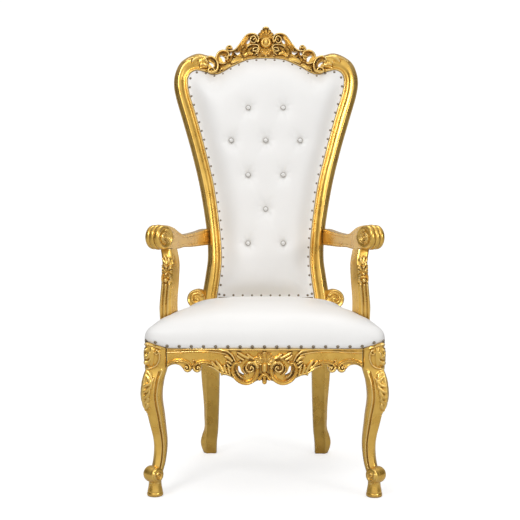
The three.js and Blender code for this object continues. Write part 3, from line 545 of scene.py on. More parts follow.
dust_cloth, tree, shader = new_material("black_dust_cloth")
fibre = use_group(tree, uneven_group, Scale=900)
tree.links.new(blend_colour(tree, fibre.outputs["Amount"], (0.008, 0.008, 0.008), (0.03, 0.029, 0.028)),
               shader.inputs["Base Color"])
shader.inputs["Roughness"].default_value = 0.95
bump_of(tree, shader, fibre.outputs["Amount"], 0.0004, 0.5)
print("finishes:", ", ".join(m.name for m in (gold, leather, pearl, nail_brass, dust_cloth)))

# %% [markdown]
# ## The front legs
# Each front leg is one piece of wood from its foot to the corner block that takes the rails.
# It bows outwards at the knee and inwards at the ankle, along its diagonal. Its section is a
# rounded square, so the surface is a function of two numbers: the turn around it and the height.

# %% The leg's surface
LEG = {"x": 319.5, "y": -268.5, "half": 31.5}
RAIL_TOP, BLOCK_RISE = 444.0, 17.0
LEG_FORWARD = [[0, 13], [60, 12], [140, 7], [230, 1.5], [300, 0], [470, 0]]
LEG_BOW = [[30, 6.5], [54, 4], [100, -6.5], [140, -10], [230, 1], [306, 12], [345, 8], [386, -1], [400, 0],
           [470, 0]]
LEG_HALF = [[30, 18], [54, 18], [140, 19.5], [230, 25], [306, 29.5], [345, 30], [386, 30.5], [400, 31.5],
            [470, 31.5]]
AROUND = 36.0


def on_leg(turn, z, out):
    """A place at an angle from the outer corner: the radius of |c|^p + |s|^p = 1, times half the
    thickness, plus out."""
    c, s, r = squared(turn - np.pi / 4, 3.6 + 2.4 * ease((z - 350) / 50))
    r = through(LEG_HALF, z) * r + out
    bow = through(LEG_BOW, z)
    return np.stack([LEG["x"] + bow + c * r, LEG["y"] - bow - through(LEG_FORWARD, z) + s * r,
                     np.broadcast_to(z, r.shape)], -1)


def block_top(x, y):
    """The block's top climbs 17 mm from its middle diagonal to its outer corner."""
    reach = ((x - LEG["x"]) + (LEG["y"] - y)) / (2 * LEG["half"])
    return RAIL_TOP + BLOCK_RISE * np.clip(reach, 0, 1.15)


# %% The leg's carving: distance around from the outer corner, and height
marks = volute([30, 430], 8, 90, -1.25, [[38, 430], [39, 416], [36, 402], [28, 391], [14, 384], [0, 381]],
               6.5, 7, bead, ends=(0.6, 1.0))
marks += [
    stroke([[42, 441], [24, 447], [0, 455]], 6, 4, bead, (0.8, 1.0)),
    stroke([[17, 440], [17, 420], [15, 400], [13, 390]], 15, 4.5, bead, (0.7, 0.5)),
    petal([[3, 412], [9, 420], [11, 432]], 8, 6),
    petal([[3, 400], [10, 404], [14, 412]], 7, 6),
    petal([[2, 374], [12, 366], [22, 352]], 10, 6),
    petal([[2, 362], [14, 352], [25, 334]], 10, 6),
    stroke([[47, 376], [45.5, 340], [45.5, 240], [45.5, 140], [45.5, 56]], 6, 4, bead, (1, 1)),
    stroke([[39.5, 372], [39, 340], [39, 240], [39, 140], [39, 58]], 4.4, 3.4, bead, (1, 1), cut=True),
]
for z, reach, lift in ((264, 13, 17), (280, 18, 22), (296, 22, 26), (313, 26, 28), (331, 28, 26)):
    marks.append(petal([[1, z], [reach * 0.5, z + lift * 0.2], [reach * 0.9, z + lift * 0.6],
                        [reach, z + lift]], 11, 6.5))
    marks.append(dome(reach + 1.5, z + lift * 0.45, 6, 6, 4))
LEG_CARVING = both(marks)
LEG_CARVING += [petal([[0, 380], [0, 330], [0, 256]], 9, 8)]
LEG_CARVING += [dome(0, z, w, w, h) for z, w, h in (
    (398, 17, 10), (420, 11, 7.5), (437, 9, 6), (252, 7, 4.5), (241, 5.6, 3.6), (232, 4.4, 2.8))]

# %% Shaft and block
BLOCK_FOOT = 402.0
turn = np.linspace(-np.pi, np.pi, 150, endpoint=False)
leg_turn, leg_z = np.meshgrid(turn, np.linspace(40, BLOCK_FOOT, 190))
edge = on_leg(turn, np.full_like(turn, BLOCK_FOOT), 0.0)
crown = block_top(edge[:, 0], edge[:, 1])
rise = np.linspace(0, 1, 30)[1:, None]
leg_turn = np.vstack([leg_turn, np.broadcast_to(turn, (len(rise), len(turn)))])
leg_z = np.vstack([leg_z, mix(BLOCK_FOOT, crown[None, :], rise)])
carved, _ = carve(leg_turn * AROUND, leg_z, 0.0, LEG_CARVING)
lip = 2.2 * hump(crown[None, :] - leg_z, 3.5, 2.6)
inner_side = ease((np.abs(leg_turn) * AROUND - 58) / 6)
shaft = on_leg(leg_turn, leg_z, (carved + lip) * (1 - inner_side) - 0.4)
rounding = [on_leg(turn, crown + up, np.full_like(turn, out)) for up, out in ((0.3, -1.4), (0.5, -3.5))]
shaft = np.vstack([shaft, np.array(rounding)])

# %% Toe and foot
SPIRAL = volute([0, 0], 16.5, 60, 1.25, [[6, 16.5]], 7, 4.6, bead, ends=(0.6, 0.9))
toe_profile = spline([[0.3, -37], [18, -37], [21, -35.6], [22.4, -32], [22.6, -27], [23.6, -22], [24.6, -8],
                      [23.4, 2], [19, 9.5], [11, 13.5], [0.3, 15]], 110)
toe = turned(toe_profile, 84, back=SPIRAL)
u, v, w = toe[..., 0], toe[..., 1], toe[..., 2]
out = 29 + v
toe = np.stack([LEG["x"] - 1 + (out + w) * math.sqrt(0.5), LEG["y"] + 3 + (w - out) * math.sqrt(0.5),
                67 + u], -1)
pad_profile = [[0.2, 0], [19, 0], [22.6, 1.5], [24, 5], [23.9, 9], [22.8, 12], [22.2, 13.2], [22.5, 14.6],
               [22, 18], [20.6, 25], [19.2, 34], [18.6, 44], [19, 62]]
pad = turned(np.vstack([[0.2, 0], spline(pad_profile[1:], 60)]), 72)
pad = pad + [LEG["x"] + 5.5, LEG["y"] - 6.5 - 12, 0]
pair("leg_front", [tube(shaft), tube(toe), tube(pad)], gold)

# %% [markdown]
# ## The back legs
# They carry on from the stiles, rake backwards and swell at the heel. No carving: a carver
# leaves the back of a chair plain. The section is a chamfered square whose corners are cut
# off twice more, which rounds them.


# %% Cutting corners, and the back leg
def cut_corners(rings, times=2):
    """Each corner is replaced by two points a quarter of the way along its edges."""
    for _ in range(times):
        following = np.roll(rings, -1, axis=1)
        pairs = np.stack([mix(rings, following, 0.25), mix(rings, following, 0.75)], axis=2)
        rings = pairs.reshape(len(rings), -1, 3)
    return rings


BACK_LEG_INNER = [[0, 172], [44, 170], [80, 166], [136, 163], [308, 158], [444, 158]]
BACK_LEG_OUTER = [[0, 218], [14, 223], [40, 227.5], [62, 223], [84, 215.5], [136, 214], [308, 223],
                  [444, 222]]
BACK_LEG_RIDGE = [[0, 205], [40, 208], [84, 204], [136, 202.5], [308, 204.5], [444, 205]]
z = np.linspace(0, RAIL_TOP, 150)
fall = 1 - z / RAIL_TOP
heel = 10 * bump((z - 8) / 84) ** 2
x0, x1, ridge = through(BACK_LEG_INNER, z), through(BACK_LEG_OUTER, z), through(BACK_LEG_RIDGE, z)
y0 = 184 + 66 * fall**1.6 - 5 * bump((z + 14) / 84) ** 2
y1 = y0 + 56 - 8 * np.clip(fall * 1.2, 0, 1) + heel
corners = [(x0, y1), (x0, y0 + 4), (x0 + 3, y0 + 0.5), (ridge - 12, y0 + 2), (ridge - 5, y0 + 0.5),
           (ridge, y0 - 1.5), (ridge + 3, y0 + 1), (x1 - 4, y0 + 11), (x1, y0 + 17), (x1, y1 - 8),
           (x1 - 8, y1)]
rings = np.stack([np.stack([x, y, z], -1) for x, y in corners], 1)
pair("leg_back", [tube(cut_corners(rings))], gold)

# %% [markdown]
# ## The apron
# The front rail is sawn to an outline, bowed forward, and carved in relief: a pair of volutes
# that make a heart around a cabochon, a shell above it, a husk below, and smaller ear scrolls
# towards the legs. It is a slab whose front height is worked out on a grid.

# %% The apron's drawing
APRON_LOW = [[0, 353], [20, 349], [36, 343], [55, 340], [72, 344], [86, 352], [98, 359], [112, 364],
             [124, 366], [134, 375], [150, 386], [166, 392], [184, 391], [192, 380], [202, 377], [210, 384],
             [217, 380], [226, 376], [238, 380], [246, 389], [258, 394], [272, 393], [288, 384]]
marks = scroll([40, 387], 20, 180, -1.35, 7.5,
               [[22, 370], [31, 353], [49, 343.5], [68, 346], [84, 358], [92.5, 376], [92, 392], [84, 402],
                [75, 400]], 14.5, 10, ends=(0.6, 0.5))
marks += scroll([196, 385], 11, 0, -1.1, 6.5,
                [[204, 395], [190, 402.5], [172, 404], [152, 397], [137, 385]], 10.5, 8, ends=(0.7, 0.4))
marks += scroll([228, 385], 11, 180, 1.1, 6.5, [[222, 397], [241, 406], [264, 405], [291, 393]], 10.5, 8,
                ends=(0.7, 0.9))
marks += [
    stroke([[290, 429.5], [128, 430], [110, 426], [98, 416], [92, 404]], 5, 4, bead, (1, 0.8), level=-1),
    stroke([[132, 439.5], [108, 435], [94, 423], [86, 408]], 7, 7, bead, (0.3, 0.8)),
    stroke([[95, 362], [110, 368], [126, 372], [140, 381], [153, 389], [168, 393]], 6.5, 7, bead, (0.6, 0.5)),
    petal([[48, 416], [62, 423], [80, 434]], 9.5, 8),
    petal([[62, 412], [72, 417], [82, 426]], 8, 8),
    petal([[30, 414], [40, 419], [52, 430]], 8, 5),
    petal([[95, 408], [105, 417], [118, 421]], 9, 7),
    petal([[98, 399], [106, 405], [114, 406]], 7, 6),
    petal([[99, 388], [106, 393], [110, 400]], 6.5, 6),
    petal([[122, 376], [130, 392], [143, 410]], 10.5, 8),
    petal([[111, 371], [116, 384], [117, 398]], 9.5, 7),
    petal([[101, 368], [104, 380], [107, 390]], 8, 6),
    petal([[134, 384], [144, 392], [156, 408]], 8.5, 6),
    stroke([[58, 358], [70, 363], [79, 375], [81, 390]], 6, 11, bead, (0.4, 0.5)),
    stroke([[46, 366], [56, 371], [62, 384], [58, 398]], 5, 6, bead, (0.3, 0.3)),
    dome(125, 367, 7, 7, 7), dome(208, 407, 7, 7, 6), dome(27, 409, 8, 8, 7), dome(70, 404, 9, 9, 7),
]
APRON_CARVING = both(marks)
APRON_CARVING += palmette(0, 399, 7, 84, 4, 29, 15.5, 9)
APRON_CARVING += [dome(0, 388, 19, 31, 15)]
APRON_CARVING += palmette(0, 376, 3, 36, 4, 30, 15, 10, tilt=270)
APRON_CARVING += [stroke([[-288, 440.5], [288, 440.5]], 6.4, 4, bead, (1, 1), level=0)]
PIERCED = both([stroke([[61, 366], [71, 374], [75, 390]], 8, 1, bead, (0.45, 0.5))])

# %% The apron's surface
x, z = np.meshgrid(np.linspace(-APRON_HALF, APRON_HALF, 390), np.linspace(334, 443.6, 78))
lower = through(APRON_LOW, np.abs(x))
edge_bead = 2.6 * hump(z - lower, 3.2, 2.2) + 1.2 * hump(z - lower, 8.5, 1.6)
field = -3.5 + 2 * ease((np.abs(x) - 118) / 10)
carved, outline = carve(x, z, field + edge_bead, APRON_CARVING)
_, hole = carve(x, z, 0.0, PIERCED)
gap = np.maximum(np.minimum(lower - z, outline), -hole)
gap = np.where(z > 436, -5, gap)


def on_apron(x, z, out):
    """The bowed front: a parabola 20 mm deep, plus out."""
    return np.stack([x, APRON_FRONT - APRON_BOW * (1 - (x / APRON_HALF) ** 2) - out, z], -1)


piece("apron_front", [slab(x, z, carved, gap, -APRON_THICK, on_apron)], gold, ["apron_front"])

# %% [markdown]
# ## Side and back rails
# The side rails carry the same pair of beads as the apron and a plain rounded lower edge. The
# back rail is hidden below the back and is only planed and rounded.


# %% Side rails
def side_x(y):
    """The seat's side: straight in plan from front to back with a 10 mm swell."""
    t = (y + 300) / 484
    return mix(350, 230, t) + 10 * bump(t)


y = np.linspace(LEG["y"] + LEG["half"] + 0.35, 184 - 0.35, 120)
low = 386 + 10 * bump(np.linspace(0, 1, len(y)))
# The section's knots: outwards, up from the lower edge, or a fixed height where that is given.
knots = [(-28, 0, 0), (-3, 0, 0), (-0.5, 1.5, 0), (0.6, 5, 0), (-0.4, 8.5, 0), (-2.4, 10, 0), (-2.6, 14, 0),
         (-2.6, 0, 420), (-2.4, 0, 424), (0.2, 0, 426), (0.6, 0, 428.5), (-1.6, 0, 431), (-2.4, 0, 433),
         (0.4, 0, 436), (1.2, 0, 439.5), (0.2, 0, 443), (-1, 0, 443.65), (-28, 0, 443.65)]
rings = np.stack([np.stack([side_x(y) - 1 + o, y, np.where(top > 0, top, low + up)], -1)
                  for o, up, top in knots], 1)
pair("rail", [tube(cut_corners(rings, 1))], gold)

# %% Back rails
def planed_bar(low, high, chamfer=2.2, lean=None):
    """A bar between two corners, its section an octagon of a cut-off rectangle; lean moves each ring
    back with height."""
    (ax, ay, az), (bx, by, bz) = low, high
    c = chamfer
    loop = [(ay + c, az), (by - c, az), (by, az + c), (by, bz - c), (by - c, bz), (ay + c, bz), (ay, bz - c),
            (ay, az + c)]
    rings = []
    for x, inset in ((ax, c), (ax + c, 0), (bx - c, 0), (bx, c)):
        middle = np.array([(ay + by) / 2, (az + bz) / 2])
        share = 1 - inset / ((by - ay) / 2)
        rings.append([[x, *(middle + (np.array(p) - middle) * share)] for p in loop])
    rings = np.array(rings)
    if lean is not None:
        rings[..., 1] += (rings[..., 2] - az) * lean
    return tube(rings)


piece("rail_back", [planed_bar((-157.6, 190, 386), (157.6, 218, 443.6))], gold, ["rail_back"],
      sharp=30)

# %% [markdown]
# ## The back frame
# Two stiles swing out from the seat, in again at the arms and out to wide shoulders, where they
# curl over to meet the carved crest rail. Each is a profile carried along the line between two
# battens, its inner and its outer edge: a bead, a hollow field, a second bead and a dark flank.

# %% The leaning back
BACK_Y, SEAT_LINE, RAKE, BACK_DEPTH = 195.0, 560.0, 0.123, 48.0
OPENING_LOW = 552.0
STILE = np.array([
    [168, 444.4, 224, 444.4], [167, 540, 220, 540], [156, 620, 208, 622], [151, 690, 200, 690],
    [158, 790, 206, 786], [179, 935, 229, 926], [210, 1062, 258, 1047], [241, 1175, 289, 1155],
    [264, 1250, 314, 1240], [271, 1293, 322, 1290], [267, 1316, 316, 1331], [256, 1329, 298, 1366],
    [240, 1334, 264, 1389], [220, 1331, 234, 1397], [202, 1326, 202, 1390]])
CREST_EDGE = [[202, 1326], [190, 1321], [175, 1320], [160, 1323], [146, 1331], [128, 1342], [104, 1354],
              [66, 1370], [0, 1377]]


def on_back(x, z, out):
    """A place drawn upright, leaned back with its height."""
    x, z, out = np.broadcast_arrays(np.asarray(x, float), np.asarray(z, float), np.asarray(out, float))
    return np.stack([x, BACK_Y + (z - SEAT_LINE) * RAKE - out, z], -1)


# %% The shoulder's carving
# The C-scroll over the joint of stile and crest: a coil below, a small curl above.
JOINT = volute([187, 1332], 12.5, 0, 1.25,
               [[172, 1332], [166, 1348], [170, 1366], [182, 1378], [197, 1381], [208, 1374],
                [207, 1364], [200, 1363]], 10, 13, bead, ends=(0.6, 0.6))
JOINT += [stroke([[178, 1342], [176, 1354], [182, 1366], [193, 1371]], 4.5, 9, bead, (0.4, 0.4))]

SHOULDER = JOINT + [
    petal([[204, 1388], [232, 1390], [264, 1382], [293, 1362]], 17, 8),
    petal([[205, 1380], [228, 1380], [246, 1373], [258, 1360]], 15, 8.5),
    petal([[207, 1371], [220, 1368], [236, 1357]], 13, 8),
    petal([[204, 1352], [216, 1355], [231, 1348]], 11, 8),
    petal([[206, 1345], [220, 1345], [236, 1340]], 7, 6),
    petal([[203, 1337], [213, 1335], [226, 1335]], 7, 5),
    dome(209, 1351, 10, 10, 9),
]

# %% The stile
ladder = np.column_stack([np.arange(len(STILE)), STILE])
fine = through(ladder, np.linspace(0, len(STILE) - 1, 1500))
middle = (fine[:, :2] + fine[:, 2:]) / 2
run = np.r_[0, np.cumsum(np.linalg.norm(np.diff(middle, axis=0), axis=1))]
stations = np.linspace(0, run[-1], 440)
rail = np.column_stack([np.interp(stations, run, fine[:, k]) for k in range(4)])
share = np.interp(stations, run, np.linspace(0, len(STILE) - 1, 1500)) / (len(STILE) - 1)
width = np.hypot(rail[:, 2] - rail[:, 0], rail[:, 3] - rail[:, 1])
flank = mix(13, 11, ease(share * 4 - 3))
face = width - flank
# The section's knots, across and out, from the inner edge, from the edge of the face and from the outer edge.
FROM_INNER = [(0, -BACK_DEPTH), (0, -6), (0.8, -1.8), (3, 1), (5.2, 1), (7.4, -1.6), (9, -4), (12, -5.2),
              (15.5, -4.6), (18.5, -2.4), (22.5, 0.2)]
FROM_FACE = [(-8, 2.4), (-4, 1.8), (-1, -0.6), (1.2, -5)]
FROM_OUTER = [(-4, -15), (-0.5, -25), (-1, -40), (-3, -BACK_DEPTH)]
line = np.stack([np.stack([start + across, 0 * start + out], -1)
                 for start, part in ((0 * width, FROM_INNER), (face, FROM_FACE), (width, FROM_OUTER))
                 for across, out in part], 1)
mean = line.mean(0)
length = np.r_[0, np.cumsum(np.linalg.norm(np.diff(mean, axis=0), axis=1))]
at = np.linspace(0, length[-1], 84)
cell = np.clip(np.searchsorted(length, at, side="right") - 1, 0, len(length) - 2)
f = ((at - length[cell]) / (length[cell + 1] - length[cell]))[:, None]
section = mix(line[:, cell], line[:, cell + 1], f)
section[:, 1:-1] = (section[:, :-2] + 2 * section[:, 1:-1] + section[:, 2:]) / 4
t = section[..., 0] / width[:, None]
sx = mix(rail[:, None, 0], rail[:, None, 2], t)
sz = mix(rail[:, None, 1], rail[:, None, 3], t)
raised, _ = carve(sx, sz, 0.0, SHOULDER)
fore = ease((section[..., 1] + 12) / 5)
body = on_back(sx, sz, section[..., 1] + raised * fore)

# %% Its foot scroll
FOOT_EYE = (234.0, 545.0)
profile = spline([[0.3, -33], [30, -33], [33.4, -30], [34, -20], [33, -11], [30, -5], [27.5, -2.2], [26, -3],
                  [0.3, -4]], 110)
drum = turned(profile, 96, front=volute([0, 0], 22.5, 150, -1.15, [[-22, 14]], 9.5, 6.5, section=bead,
                                        ends=(0.5, 0.9)) + [dome(0, 0, 17, 17, 6)])
drum[..., 0] += -4 + 7 * ease((drum[..., 2] + 30) / 26)
drum = on_back(FOOT_EYE[0] + drum[..., 0], FOOT_EYE[1] + drum[..., 1], drum[..., 2])
pair("stile", [tube(body), tube(drum)], gold)
piece("back_bottom_rail", [planed_bar((-165, BACK_Y - 6, 445), (165, BACK_Y + 26, OPENING_LOW - 0.4), 3, RAKE)],
      gold, ["back_bottom_rail"], sharp=30)

# %% [markdown]
# ## The crest rail
# This is the showpiece: a pierced carving of scrolls and leaves around a cabochon, under a
# shell. Light comes through it, so it can't be a solid board. The strokes themselves make the
# outline, and the slab keeps only what lies under one of them or in the lower moulding.


# %% The crest's drawing
CREST_TOP = [[0, 1474], [12, 1470], [22, 1461], [31, 1448], [44, 1456], [58, 1458], [70, 1451], [82, 1437],
             [94, 1422], [104, 1407], [114, 1400], [134, 1399], [150, 1398], [166, 1390], [178, 1380],
             [192, 1379], [203, 1379]]
marks = volute([42, 1438], 14, 90, -1.3,
               [[28, 1432], [25, 1444], [33, 1456], [50, 1461], [66, 1456], [79, 1441], [91, 1422]],
               8.5, 14, bead, ends=(0.55, 0.6))
marks += volute([128, 1412], 9, 180, -1.0,
                [[137, 1412], [135, 1404], [122, 1400], [107, 1405], [95, 1419], [84, 1436]], 7.5, 13, bead,
                ends=(0.7, 0.5))
marks += volute([33, 1402], 12, 0, 1.2, [[24, 1408], [27, 1419], [40, 1423], [54, 1421], [66, 1413]], 7, 13,
                bead, ends=(0.6, 0.6))
marks += volute([136, 1377], 8, 0, -1.0,
                [[128, 1384], [133, 1397], [148, 1402], [163, 1396], [171, 1381], [168, 1365], [156, 1357],
                 [140, 1358]], 9, 12, bead, ends=(0.7, 0.6))
marks += JOINT
marks += [
    stroke([[62, 1452], [75, 1437], [83, 1420], [95, 1404]], 20, 8, scoop, (0.35, 0.4)),
    leaf([[64, 1440], [72, 1428], [80, 1414]], 9, 9, 0.4, 0.4),
    stroke([[20, 1418], [21, 1406], [28, 1394], [40, 1388]], 6, 9, bead, (0.5, 0.5)),
    leaf([[48, 1413], [59, 1404], [64, 1390]], 12, 7, 0.5, 0.5),
    leaf([[66, 1413], [76, 1403], [79, 1388]], 13, 9, 0.5, 0.5),
    leaf([[80, 1421], [88, 1409], [87, 1394]], 11, 11, 0.5, 0.4),
    stroke([[46, 1391], [60, 1395], [74, 1384]], 13, 5, bead, (0.6, 0.6)),
    leaf([[84, 1382], [98, 1380], [112, 1386], [114, 1396]], 9, 9, 0.6, 0.4),
    leaf([[104, 1402], [112, 1394], [116, 1382]], 8, 10, 0.5, 0.5),
    stroke([[84, 1372], [100, 1371], [118, 1362]], 17, 6, scoop, (0.7, 0.6)),
    leaf([[118, 1380], [124, 1370], [134, 1362]], 10, 8, 0.6, 0.5),
    stroke([[126, 1352], [142, 1344], [156, 1338]], 12, 6, scoop, (0.7, 0.6)),
    leaf([[134, 1368], [140, 1384], [152, 1391]], 9, 9, 0.5, 0.4),
    leaf([[160, 1352], [156, 1341], [160, 1330]], 8, 6, 0.5, 0.5),
    dome(104, 1391, 6, 6, 8), dome(123, 1404, 6, 6, 8), dome(28, 1386, 6, 6, 6),
]
CREST = both(marks)
CREST += palmette(0, 1447, 7, 88, 6, 26, 14, 12)
CREST += [dome(0, 1431, 42, 42, 9, section=channel), dome(0, 1431, 26, 26, 17),
          stroke([[-8, 1480], [0, 1483], [8, 1480]], 9, 13, bead, (0.9, 0.9))]
CREST += palmette(0, 1413, 5, 50, 6, 25, 13, 11, tilt=270)
CREST_HOLES = both([
    stroke([[58, 1439], [64, 1431]], 9, 1, bead, (0.9, 0.9)),
    stroke([[92, 1398], [99, 1393], [106, 1396]], 9, 1, bead, (0.6, 0.6)),
    stroke([[121, 1395], [124, 1389]], 7, 1, bead, (0.9, 0.9)),
    stroke([[146, 1368], [150, 1379], [158, 1384]], 10, 1, bead, (0.8, 0.5)),
    stroke([[184, 1345], [188, 1356], [197, 1362]], 8, 1, bead, (0.5, 0.5)),
])

# %% The crest's surface
CREST_THICK = 36.0
x, z = np.meshgrid(np.linspace(-201.6, 201.6, 320), np.linspace(1318, 1490, 138))
edge = spline(CREST_EDGE, 240)[::-1]
bottom = np.interp(np.abs(x), edge[:, 0], edge[:, 1])
up = z - bottom
carved, outline = carve(x, z, -7 + 6.5 * hump(up, 3.6, 2.6) + 3 * hump(up, 9.5, 1.8), CREST)
_, hole = carve(x, z, 0.0, CREST_HOLES)
body = np.maximum(-up, z - through(CREST_TOP, np.abs(x)))
gap = np.maximum(np.maximum(np.minimum(outline, body), -up), -hole)
piece("crest_rail", [slab(x, z, carved, gap, -CREST_THICK, on_back)], gold, ["crest_rail"])

# %% [markdown]
# ## Arms
# An arm is a moulded rail that dips, then rises to a turned hand scroll with three reeds. The
# post under it is set back from the rail's front and leans: it is reeded below and carries a
# small flower above.

# %% The arm's own plan
ARM = {"x": 321.0, "y": -200.0, "z": 766.0, "rear_x": 213.0, "rear_y": 215.0}
ARM_RUN = np.array([ARM["x"] - ARM["rear_x"], ARM["y"] - ARM["rear_y"]])
ARM_LENGTH = float(np.hypot(*ARM_RUN))
AHEAD = ARM_RUN / ARM_LENGTH
ASIDE = np.array([-AHEAD[1], AHEAD[0]])
ARM_BEND = 124.0
HAND_TURN = math.radians(17)
ARM_TOP = [[-0.2, 786], [0, 784], [0.2, 776], [0.4, 771], [0.57, 769.5], [0.66, 777], [0.8, 793],
           [0.92, 801], [1, 803]]
ARM_LOW = [[-0.2, 728], [0, 729], [0.4, 728.5], [0.57, 730], [0.66, 727.5], [0.8, 727], [0.88, 727.4],
           [0.96, 728.5], [1, 734]]


def on_arm(along, aside, z):
    """Along from the back to the hand, aside away from the sitter, and height."""
    t = np.clip(along / ARM_LENGTH, 0, 1)
    aside = aside - ARM_BEND * (1 - t) * t**6
    return np.stack([ARM["rear_x"] + AHEAD[0] * along + ASIDE[0] * aside,
                     ARM["rear_y"] + AHEAD[1] * along + ASIDE[1] * aside,
                     np.broadcast_to(z, np.shape(along + aside))], -1)


# %% The arm rail
share = np.linspace(-0.06, 1.0, 190)[:, None]
angle = np.linspace(0, 2 * np.pi, 84, endpoint=False)[None, :]
top, low = through(ARM_TOP, share[:, 0])[:, None], through(ARM_LOW, share[:, 0])[:, None]
tall, wide = (top - low) / 2, 17.0
c, s, r = squared(angle, 5)
aside, up = wide * c * r, tall * s * r
edge_way = tall - np.abs(up)
flat_side = ease((np.abs(aside) - wide + 3) / 2)
sunk = -2.2 * ease((edge_way - 9) / 3) - 3.4 * hump(edge_way, 9, 1.6)
ridge = 1.3 * hump(np.abs(aside), 12.5, 2) - 1.0 * hump(np.abs(aside), 8.5, 1.4)
aside = aside + np.sign(aside) * flat_side * sunk
up = up + np.sign(up) * ridge * (1 - flat_side)
along = share * ARM_LENGTH + 0 * aside
rear_leaf = [leaf([[-31, 2], [-46, 6], [-60, 16]], 12, 5, 0.9, 0.2, lobes=3),
             leaf([[-32, -2], [-52, -2], [-70, 0]], 12, 5, 0.9, 0.2, lobes=3),
             leaf([[-31, -8], [-46, -13], [-60, -15]], 11, 5, 0.9, 0.2, lobes=3),
             dome(-36, 12, 9, 9, 5), dome(-40, -6, 7, 7, 4.5)]
height_at = mix(top, low, 0.5) + up
leafed, _ = carve(along - ARM_LENGTH, height_at - ARM["z"], 0.0, rear_leaf)
aside = aside + np.sign(aside) * leafed * flat_side
arm = on_arm(along, aside, height_at)

# %% The hand scroll
w = np.linspace(-26, 26, 80)
reeds = np.maximum.reduce([rise * bead((w - at) / 8, 0)
                           for at, rise in ((-16.5, 4.4), (0, 5.6), (16.5, 4.4))])
profile = np.vstack([[[r, -24.2] for r in np.linspace(0.3, 25, 26)],
                     [[26.5, -25], [28, -26], [30, -26.2], [31.6, -25.8]],
                     np.column_stack([32.6 + reeds, w])[2:-2],
                     [[31.6, 25.8], [30, 26.2], [28, 26], [26.5, 25]],
                     [[r, 24.2] for r in np.linspace(25, 0.3, 26)]])
spiral = volute([0, 0], 21, 100, 1.8, [[-8, 23]], 8, 4.6, ends=(0.35, 0.9))
hand = turned(profile, 110, front=spiral, back=spiral)
ahead_of_it = hand[..., 0] * math.cos(HAND_TURN) - hand[..., 2] * math.sin(HAND_TURN)
beside_it = hand[..., 0] * math.sin(HAND_TURN) + hand[..., 2] * math.cos(HAND_TURN)
hand = on_arm(ARM_LENGTH + ahead_of_it, beside_it, ARM["z"] + hand[..., 1])
pair("arm", [tube(arm), tube(hand)], gold)

# %% The arm's post
POST_REAR, POST_IN = 22.0, 17.0
POST_ASIDE = [[444, 8], [500, 3], [560, -1], [640, -9], [690, -8], [730, 3]]
POST_BACK = [[444, 30], [500, 16], [560, 4], [640, 0], [690, 6], [730, 16]]


def on_post(ahead, across, z):
    """Ahead and across from the post's own bent axis."""
    return on_arm(ARM_LENGTH - POST_REAR - through(POST_BACK, z) + ahead,
                  -POST_IN + through(POST_ASIDE, z) + across, z)


z = np.linspace(RAIL_TOP + 0.4, 729.5, 170)[:, None]
angle = np.linspace(0, 2 * np.pi, 96, endpoint=False)[None, :]
c, s, r = squared(angle, 6)
wide = 18 + 3 * bump((z - RAIL_TOP) / 300 + 0.5)
ahead, across = 27 * c * r + 0 * z, wide * s * r
fore = ease((ahead - 22) / 3)
lanes = across / wide
reed = np.maximum.reduce([bead((lanes - at) / 0.25, 0) for at in (-0.62, 0.0, 0.62)])
fluted = 5.2 * reed * ease((634 - z) / 12) - 1.5
flower = palmette(0, 660, 5, 78, 3, 24, 12, 8)
flower += both([leaf([[3, 660], [13, 652], [14, 640], [8, 628]], 10, 8, 0.6, 0.4),
                petal([[4, 690], [9, 697], [10, 706]], 8, 6)])
flower += [dome(0, 637, 16, 16, 11), dome(0, 656, 11, 11, 10), dome(0, 676, 9, 9, 8), dome(0, 623, 8, 8, 7),
           petal([[0, 686], [0, 698], [0, 710]], 8, 6)]
bloom, _ = carve(across, z, fluted, flower)
side_hollow = -1.3 * ease((np.abs(across) - wide + 2) / 2) * ease((20 - np.abs(ahead)) / 4)
post = on_post(ahead + bloom * fore, across + np.sign(across) * side_hollow, np.broadcast_to(z, ahead.shape))
pair("arm_post", [tube(post)], gold)

# %% [markdown]
# ## The seat
# Foam over webbing, under one tight skin of leather that is pulled down all round and tacked to
# the rails. The crown is highest in the middle, and it rolls down steeply at the edges. Where
# the arm posts stand, the stuffing is pressed in.

# %% The seat cushion
CUSHION = {"front": -317.0, "rear": 179.0, "front_x": 371.0, "rear_x": 220.0}
SEAT_CROWN = 568.0


def seat_plan(angle, scale):
    """A rounded trapezium: |c|^p + |s|^p = 1 with p from 11 at the rim to 2.6 inside, narrower at the
    back, bowed at the front."""
    c, s, r = squared(angle, mix(2.6, 11, np.clip(scale, 0, 1) ** 7))
    u, v = c * scale * r, s * scale * r
    t = (v + 1) / 2
    half = mix(CUSHION["front_x"], CUSHION["rear_x"], t) + 8 * bump(t)
    y = mix(CUSHION["front"] + 6, CUSHION["rear"], t) - 8 * (1 - u * u) * (1 - t) ** 2
    return u, v, u * half, y


def seat_height(scale, angle):
    """Full in the middle: (1 - scale^p)^0.4, with p from 3.2 to 5 at the back, so that it rolls down at
    the rim."""
    return (1 - np.minimum(scale, 1) ** mix(3.2, 5, ease(2 * np.sin(angle)))) ** 0.4


def corner_lift(x, y):
    """The leather's edge climbs over the corner blocks by the same 17 mm."""
    reach = ((np.abs(x) - LEG["x"]) + (LEG["y"] - y)) / (2 * LEG["half"])
    return BLOCK_RISE * np.clip(reach, 0, 1.15) * ease((np.abs(x) - 282) / 10)


